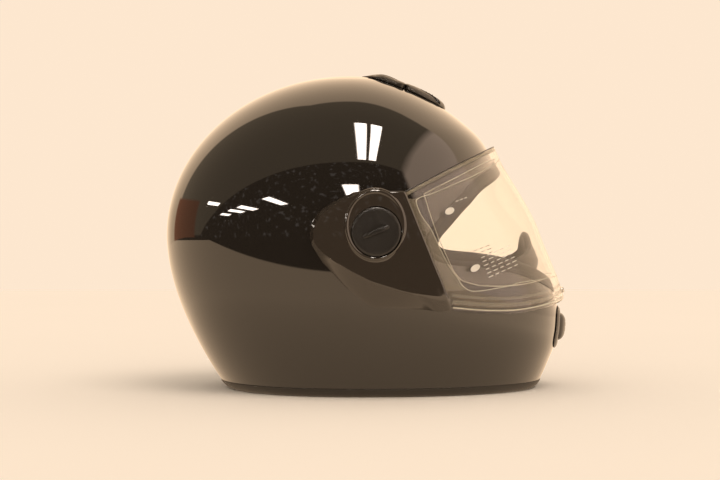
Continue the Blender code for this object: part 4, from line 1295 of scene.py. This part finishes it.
def add_knobs(looks):
    for side, name in SIDES:
        axes, middle = knob_frame(side)
        profile = [(0.25, 0.35), (0.5, 0.45), (0.7, 0.65), (0.82, 0.85), (0.86, 0.98), (0.92, 1.0),
                   (0.97, 0.85), (0.99, 0.6), (1.0, 0.2)]
        knob = new_object("knob_" + name, *domed_plate((0.0, 0.0), np.full(180, KNOB_RADIUS), profile,
                                                        -1.5, crowned(axes, middle), around(180)),
                          looks["knob"])
        angles = around(80)
        bar = superellipse(10.6, 1.7, 4.0, angles)
        cut(knob, *plate((0.0, 0.0), angles, [bar * 0.5, bar * 0.85, bar], [1.7, 1.6, 1.2],
                         [0.0] * 3, crowned(axes, middle)), operation="UNION")
        notch = superellipse(4.2, 0.9, 3.0, angles)
        cut(knob, *plate((3.0, 3.1), angles, [notch * 0.5, notch], [3.0] * 2, [-0.4] * 2,
                         crowned(axes, middle)))
        join_cad(knob, "knob_" + name, "satin_plastic", "cover_knob_" + name, sharp=40.0)


# Foam and lining

def add_foam(looks):
    front = ((44, -20), (44, 119), (106, 183.5), (230, 312), (230, -20))
    liner = new_object("bead_foam_liner", *dome(-4.9, -32.0, 46.0, 40.0, 120, 44), looks["foam"])
    cut(liner, *side_prism(front))
    round_edges(liner, 1.5, 2, 50.0)
    join_cad(liner, "helmet", "foam", "impact_liner", sharp=45.0)
    turns = np.radians(np.linspace(-48, 48, 65))[:, None]
    heights = np.linspace(10.5, 61.0, 21)[None, :]
    chin = new_object("chin_foam", *between(shell_at(turns, heights, -4.8),
                                            shell_at(turns, heights, -21.0)), looks["foam"])
    cut(chin, *box(*CHIN_HOLE))
    round_edges(chin, 2.0, 3, 50.0)
    join_cad(chin, "helmet", "foam", "chin_liner", sharp=45.0)
    for side, name in SIDES:
        turns = side * np.radians(np.linspace(52, 114, 37))[:, None]
        heights = np.linspace(10.5, 36.0, 9)[None, :]
        block = new_object("cheek_foam_" + name, *between(shell_at(turns, heights, -5.2),
                                                          shell_at(turns, heights, -31.5)),
                           looks["foam"])
        round_edges(block, 2.0, 3, 50.0)
        join_cad(block, "helmet", "foam", "cheek_block_" + name, sharp=45.0)


def cad_tree(node):
    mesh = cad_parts[node].data
    built = bmesh.new()
    built.from_mesh(mesh)
    tree = BVHTree.FromBMesh(built)
    built.free()
    return tree


def puffed(name, node, look, shrink):
    """A soft pad grown by cloth pressure from its CAD solid, and kept within its space."""
    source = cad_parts[node]
    pad = bpy.data.objects.new(name, source.data.copy())
    pad.data.materials.clear()
    pad.data.materials.append(look)
    bpy.context.scene.collection.objects.link(pad)
    remesh = pad.modifiers.new("even", "REMESH")
    remesh.mode = "VOXEL"
    remesh.voxel_size = PAD_VOXEL * MM
    settle(pad)
    tree = cad_tree(node)
    shrink_in(pad, shrink)
    start = read_points(pad)
    cloth = pad.modifiers.new("cloth", "CLOTH")
    cloth.settings.use_pressure = True
    cloth.settings.uniform_pressure_force = PRESSURE
    cloth.settings.effector_weights.gravity = 0.0
    cloth.settings.quality = 5
    scene = bpy.context.scene
    for step in range(1, LAST_STEP + 1):
        scene.frame_set(step)
    settle(pad)
    scene.frame_set(1)
    hold(pad, start, tree)
    rounder = pad.modifiers.new("rounder", "SUBSURF")
    rounder.levels = 1
    rounder.render_levels = 1
    settle(pad)
    shade(pad, 180.0)
    return pad


def read_points(made):
    points = np.zeros(len(made.data.vertices) * 3, np.float32)
    made.data.vertices.foreach_get("co", points)
    return points.reshape(-1, 3).astype(float)


def read_normals(made):
    normals = np.zeros(len(made.data.vertices) * 3, np.float32)
    made.data.vertices.foreach_get("normal", normals)
    return normals.reshape(-1, 3)


def write_points(made, points):
    made.data.vertices.foreach_set("co", points.astype(np.float32).ravel())
    made.data.update()


def shrink_in(made, amount):
    write_points(made, read_points(made) - amount * MM * read_normals(made))


def hold(made, start, tree):
    """Caps how far each point moved, and brings back any that left the CAD solid's space."""
    points = read_points(made)
    moved = points - start
    length = np.linalg.norm(moved, axis=1, keepdims=True)
    limit = PAD_CAP * MM
    points = start + moved * np.minimum(1.0, limit / np.maximum(length, 1e-9))
    for i, point in enumerate(points):
        near, direction, _, _ = tree.find_nearest(point.tolist())
        out = float(np.dot(point - np.array(near), np.array(direction)))
        if out > -INSIDE_GAP:
            points[i] = np.array(near) - INSIDE_GAP * np.array(direction)
    write_points(made, points)


def crease_crown(pad):
    """Sewn channels across the crown pad: one along the middle and two beside it."""
    points = read_points(pad) / MM
    depth = np.zeros(len(points))
    for line in (-34.0, 0.0, 34.0):
        depth += 1.6 * np.exp(-((points[:, 1] - line) / 1.8) ** 2)
    inside = points - np.array([middle_x(points[:, 2]), 0.0 * points[:, 0], 0 * points[:, 0] + 110.0]).T
    inside /= np.linalg.norm(inside, axis=1, keepdims=True)
    faces_in = (read_normals(pad) * inside).sum(1) < -0.2
    points += inside * (depth * faces_in)[:, None]
    write_points(pad, points * MM)


def add_pads(looks):
    crown = puffed("crown_pad_cushion", "crown_pad", looks["velour"], 0.6)
    crease_crown(crown)
    join_cad(crown, "helmet", "lining", "crown_pad")
    for side, name in SIDES:
        pad = puffed("cheek_cushion_" + name, "cheek_pad_" + name, looks["velour"], 1.0)
        join_cad(pad, "helmet", "lining", "cheek_pad_" + name)
        add_piping(looks, side, name)
    roll = puffed("neck_roll_cushion", "neck_roll", looks["knit"], 0.8)
    join_cad(roll, "helmet", "lining", "neck_roll")


def add_piping(looks, side, name):
    """A sewn cord round the face of a cheek pad."""
    angles = np.linspace(0, 2 * math.pi, 120, endpoint=False)
    radius = superellipse(0.78, 0.74, 4.0, angles)
    u, v = radius * np.cos(angles), radius * np.sin(angles)
    turns = side * np.radians(86 + 29 * u)
    heights = 58.0 + 42.0 * v - 6.0 * u
    swell = (1 - u**4) * (1 - v**4)
    line = shell_at(turns, heights, -43.4 - 14.0 * swell)
    bead = new_object("cheek_piping_" + name, *tube(line, 0.8, out=normal(turns, heights)),
                      looks["knit"])
    join_cad(bead, "helmet", "lining", sharp=80.0)


# Chin strap and buckle

def strap_path(side):
    x = 6.0
    line = []
    for z in (45.0, 36.0, 27.0, 18.0):
        line.append(side_at(side)(np.array(x), np.array(z), -34.4))
    top = line[-1]
    for y, z in ((62.0, 11.0), (57.0, 8.2), (50.0, 7.0), (40.0, 6.6)):
        line.append(np.array([top[0], side * y, z]))
    line.append(np.array([top[0], side * (29.0 if side == RIGHT else 24.0), 6.5]))
    return np.array(line)


def eased(points, count):
    """More points along a line, with its corners rounded a little."""
    points = np.array(points, float)
    lengths = np.concatenate([[0.0], np.cumsum(np.linalg.norm(np.diff(points, axis=0), axis=1))])
    at = np.linspace(0, lengths[-1], count)
    line = np.stack([np.interp(at, lengths, points[:, i]) for i in range(3)], -1)
    for _ in range(6):
        line[1:-1] = 0.5 * line[1:-1] + 0.25 * (line[2:] + line[:-2])
    return line


def add_straps(looks):
    half = (((1.0, 0.35), (0.97, 0.9), (0.8, 1.0), (0.0, 0.9), (-0.8, 1.0), (-0.97, 0.9), (-1.0, 0.35),
             (-1.0, -0.35), (-0.97, -0.9), (-0.8, -1.0), (0.0, -0.9), (0.8, -1.0), (0.97, -0.9),
             (1.0, -0.35)))
    for side, name in SIDES:
        line = eased(strap_path(side), 70)
        ahead = np.gradient(line, axis=0)
        ahead[:, 0] = 0.0
        ahead /= np.linalg.norm(ahead, axis=1, keepdims=True)
        sections = []
        for point, way in zip(line, ahead):
            out = np.cross(way, [1.0, 0.0, 0.0])
            sections.append([point + np.array([11.0 * u, 0, 0]) + 0.78 * v * out for u, v in half])
        strap = new_object("chin_strap_" + name, *along_path(sections, closed=False),
                           looks["webbing"])
        join_cad(strap, "helmet", "webbing", "strap_" + name, sharp=50.0)
        angles = around(80)
        radius = superellipse(12.0, 9.0, 5.0, angles)
        anchor = new_object("anchor_plate_" + name, *plate((6.0, 57.0), angles, [radius * 0.5, radius],
                                                           [-33.6] * 2, [-35.0] * 2, side_at(side)),
                            looks["steel"])
        round_edges(anchor, 0.3, 2, 50.0)
        join_cad(anchor, "helmet", "steel", "strap_anchor_" + name, sharp=SHARP)


def add_buckle(looks):
    x = float(strap_path(RIGHT)[0][0])
    body = new_object("buckle_housing", *box((x - 13, -28.6, 2.6), (x + 13, 4.0, 10.2)), looks["satin"])
    cut(body, *box((x - 9.4, -22.0, 4.9), (x + 9.4, 8.0, 8.2)))
    round_edges(body, 1.2, 4)
    join_cad(body, "helmet", "satin_plastic", "buckle_body", sharp=SHARP)
    tongue = new_object("buckle_rack", *box((x - 8.8, -20.0, 5.4), (x + 8.8, 23.6, 7.6)), looks["steel"])
    for i in range(8):
        y = 5.2 + 2.0 * i
        cut(tongue, *box((x - 6.5, y, 7.0), (x + 6.5, y + 1.0, 9.0)))
    round_edges(tongue, 0.3, 2)
    join_cad(tongue, "helmet", "steel", "buckle_tongue", sharp=SHARP)
    lever = new_object("buckle_release", *box((x - 11, -26.9, 10.8), (x + 11, 2.0, 12.6)), looks["red"])
    for i in range(4):
        y = -6.0 + 1.9 * i
        cut(lever, *box((x - 8.0, y, 12.1), (x + 8.0, y + 0.9, 14.0)))
    round_edges(lever, 0.4, 3)
    join_cad(lever, "release_lever", "red_plastic", "buckle_lever", sharp=SHARP)


# CAD parts whose shape stays

def dress_cad(looks):
    """Better materials and softer edges on the hinge parts that keep their CAD shape."""
    for name in ("right", "left"):
        wear = {"hinge_plate_" + name: "satin", "pivot_washer_" + name: "steel",
                "hinge_screw_" + name + "_a": "steel", "hinge_screw_" + name + "_b": "steel",
                "insert_pin_" + name: "satin"}
        for node, look in wear.items():
            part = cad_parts[node]
            for item in part.material_slots:
                item.material = looks[look]
            change = part.modifiers.new("round", "BEVEL")
            change.width = 0.0003
            change.segments = 2
            change.limit_method = "ANGLE"


def main():
    bpy.context.scene.view_settings.view_transform = "Standard"
    add_camera()
    add_world()
    add_floor()
    add_sun("key_light", (0.5, -0.5, 1.5), 0.68, 34.0)
    looks = make_looks()
    for add in (add_shell, add_port_seal, add_base_trim, add_breath_guard, add_chin_vent,
                add_top_vent, add_visor, add_film, add_marks, add_covers, add_knobs, add_foam,
                add_pads, add_straps, add_buckle, dress_cad):
        add(looks)


main()
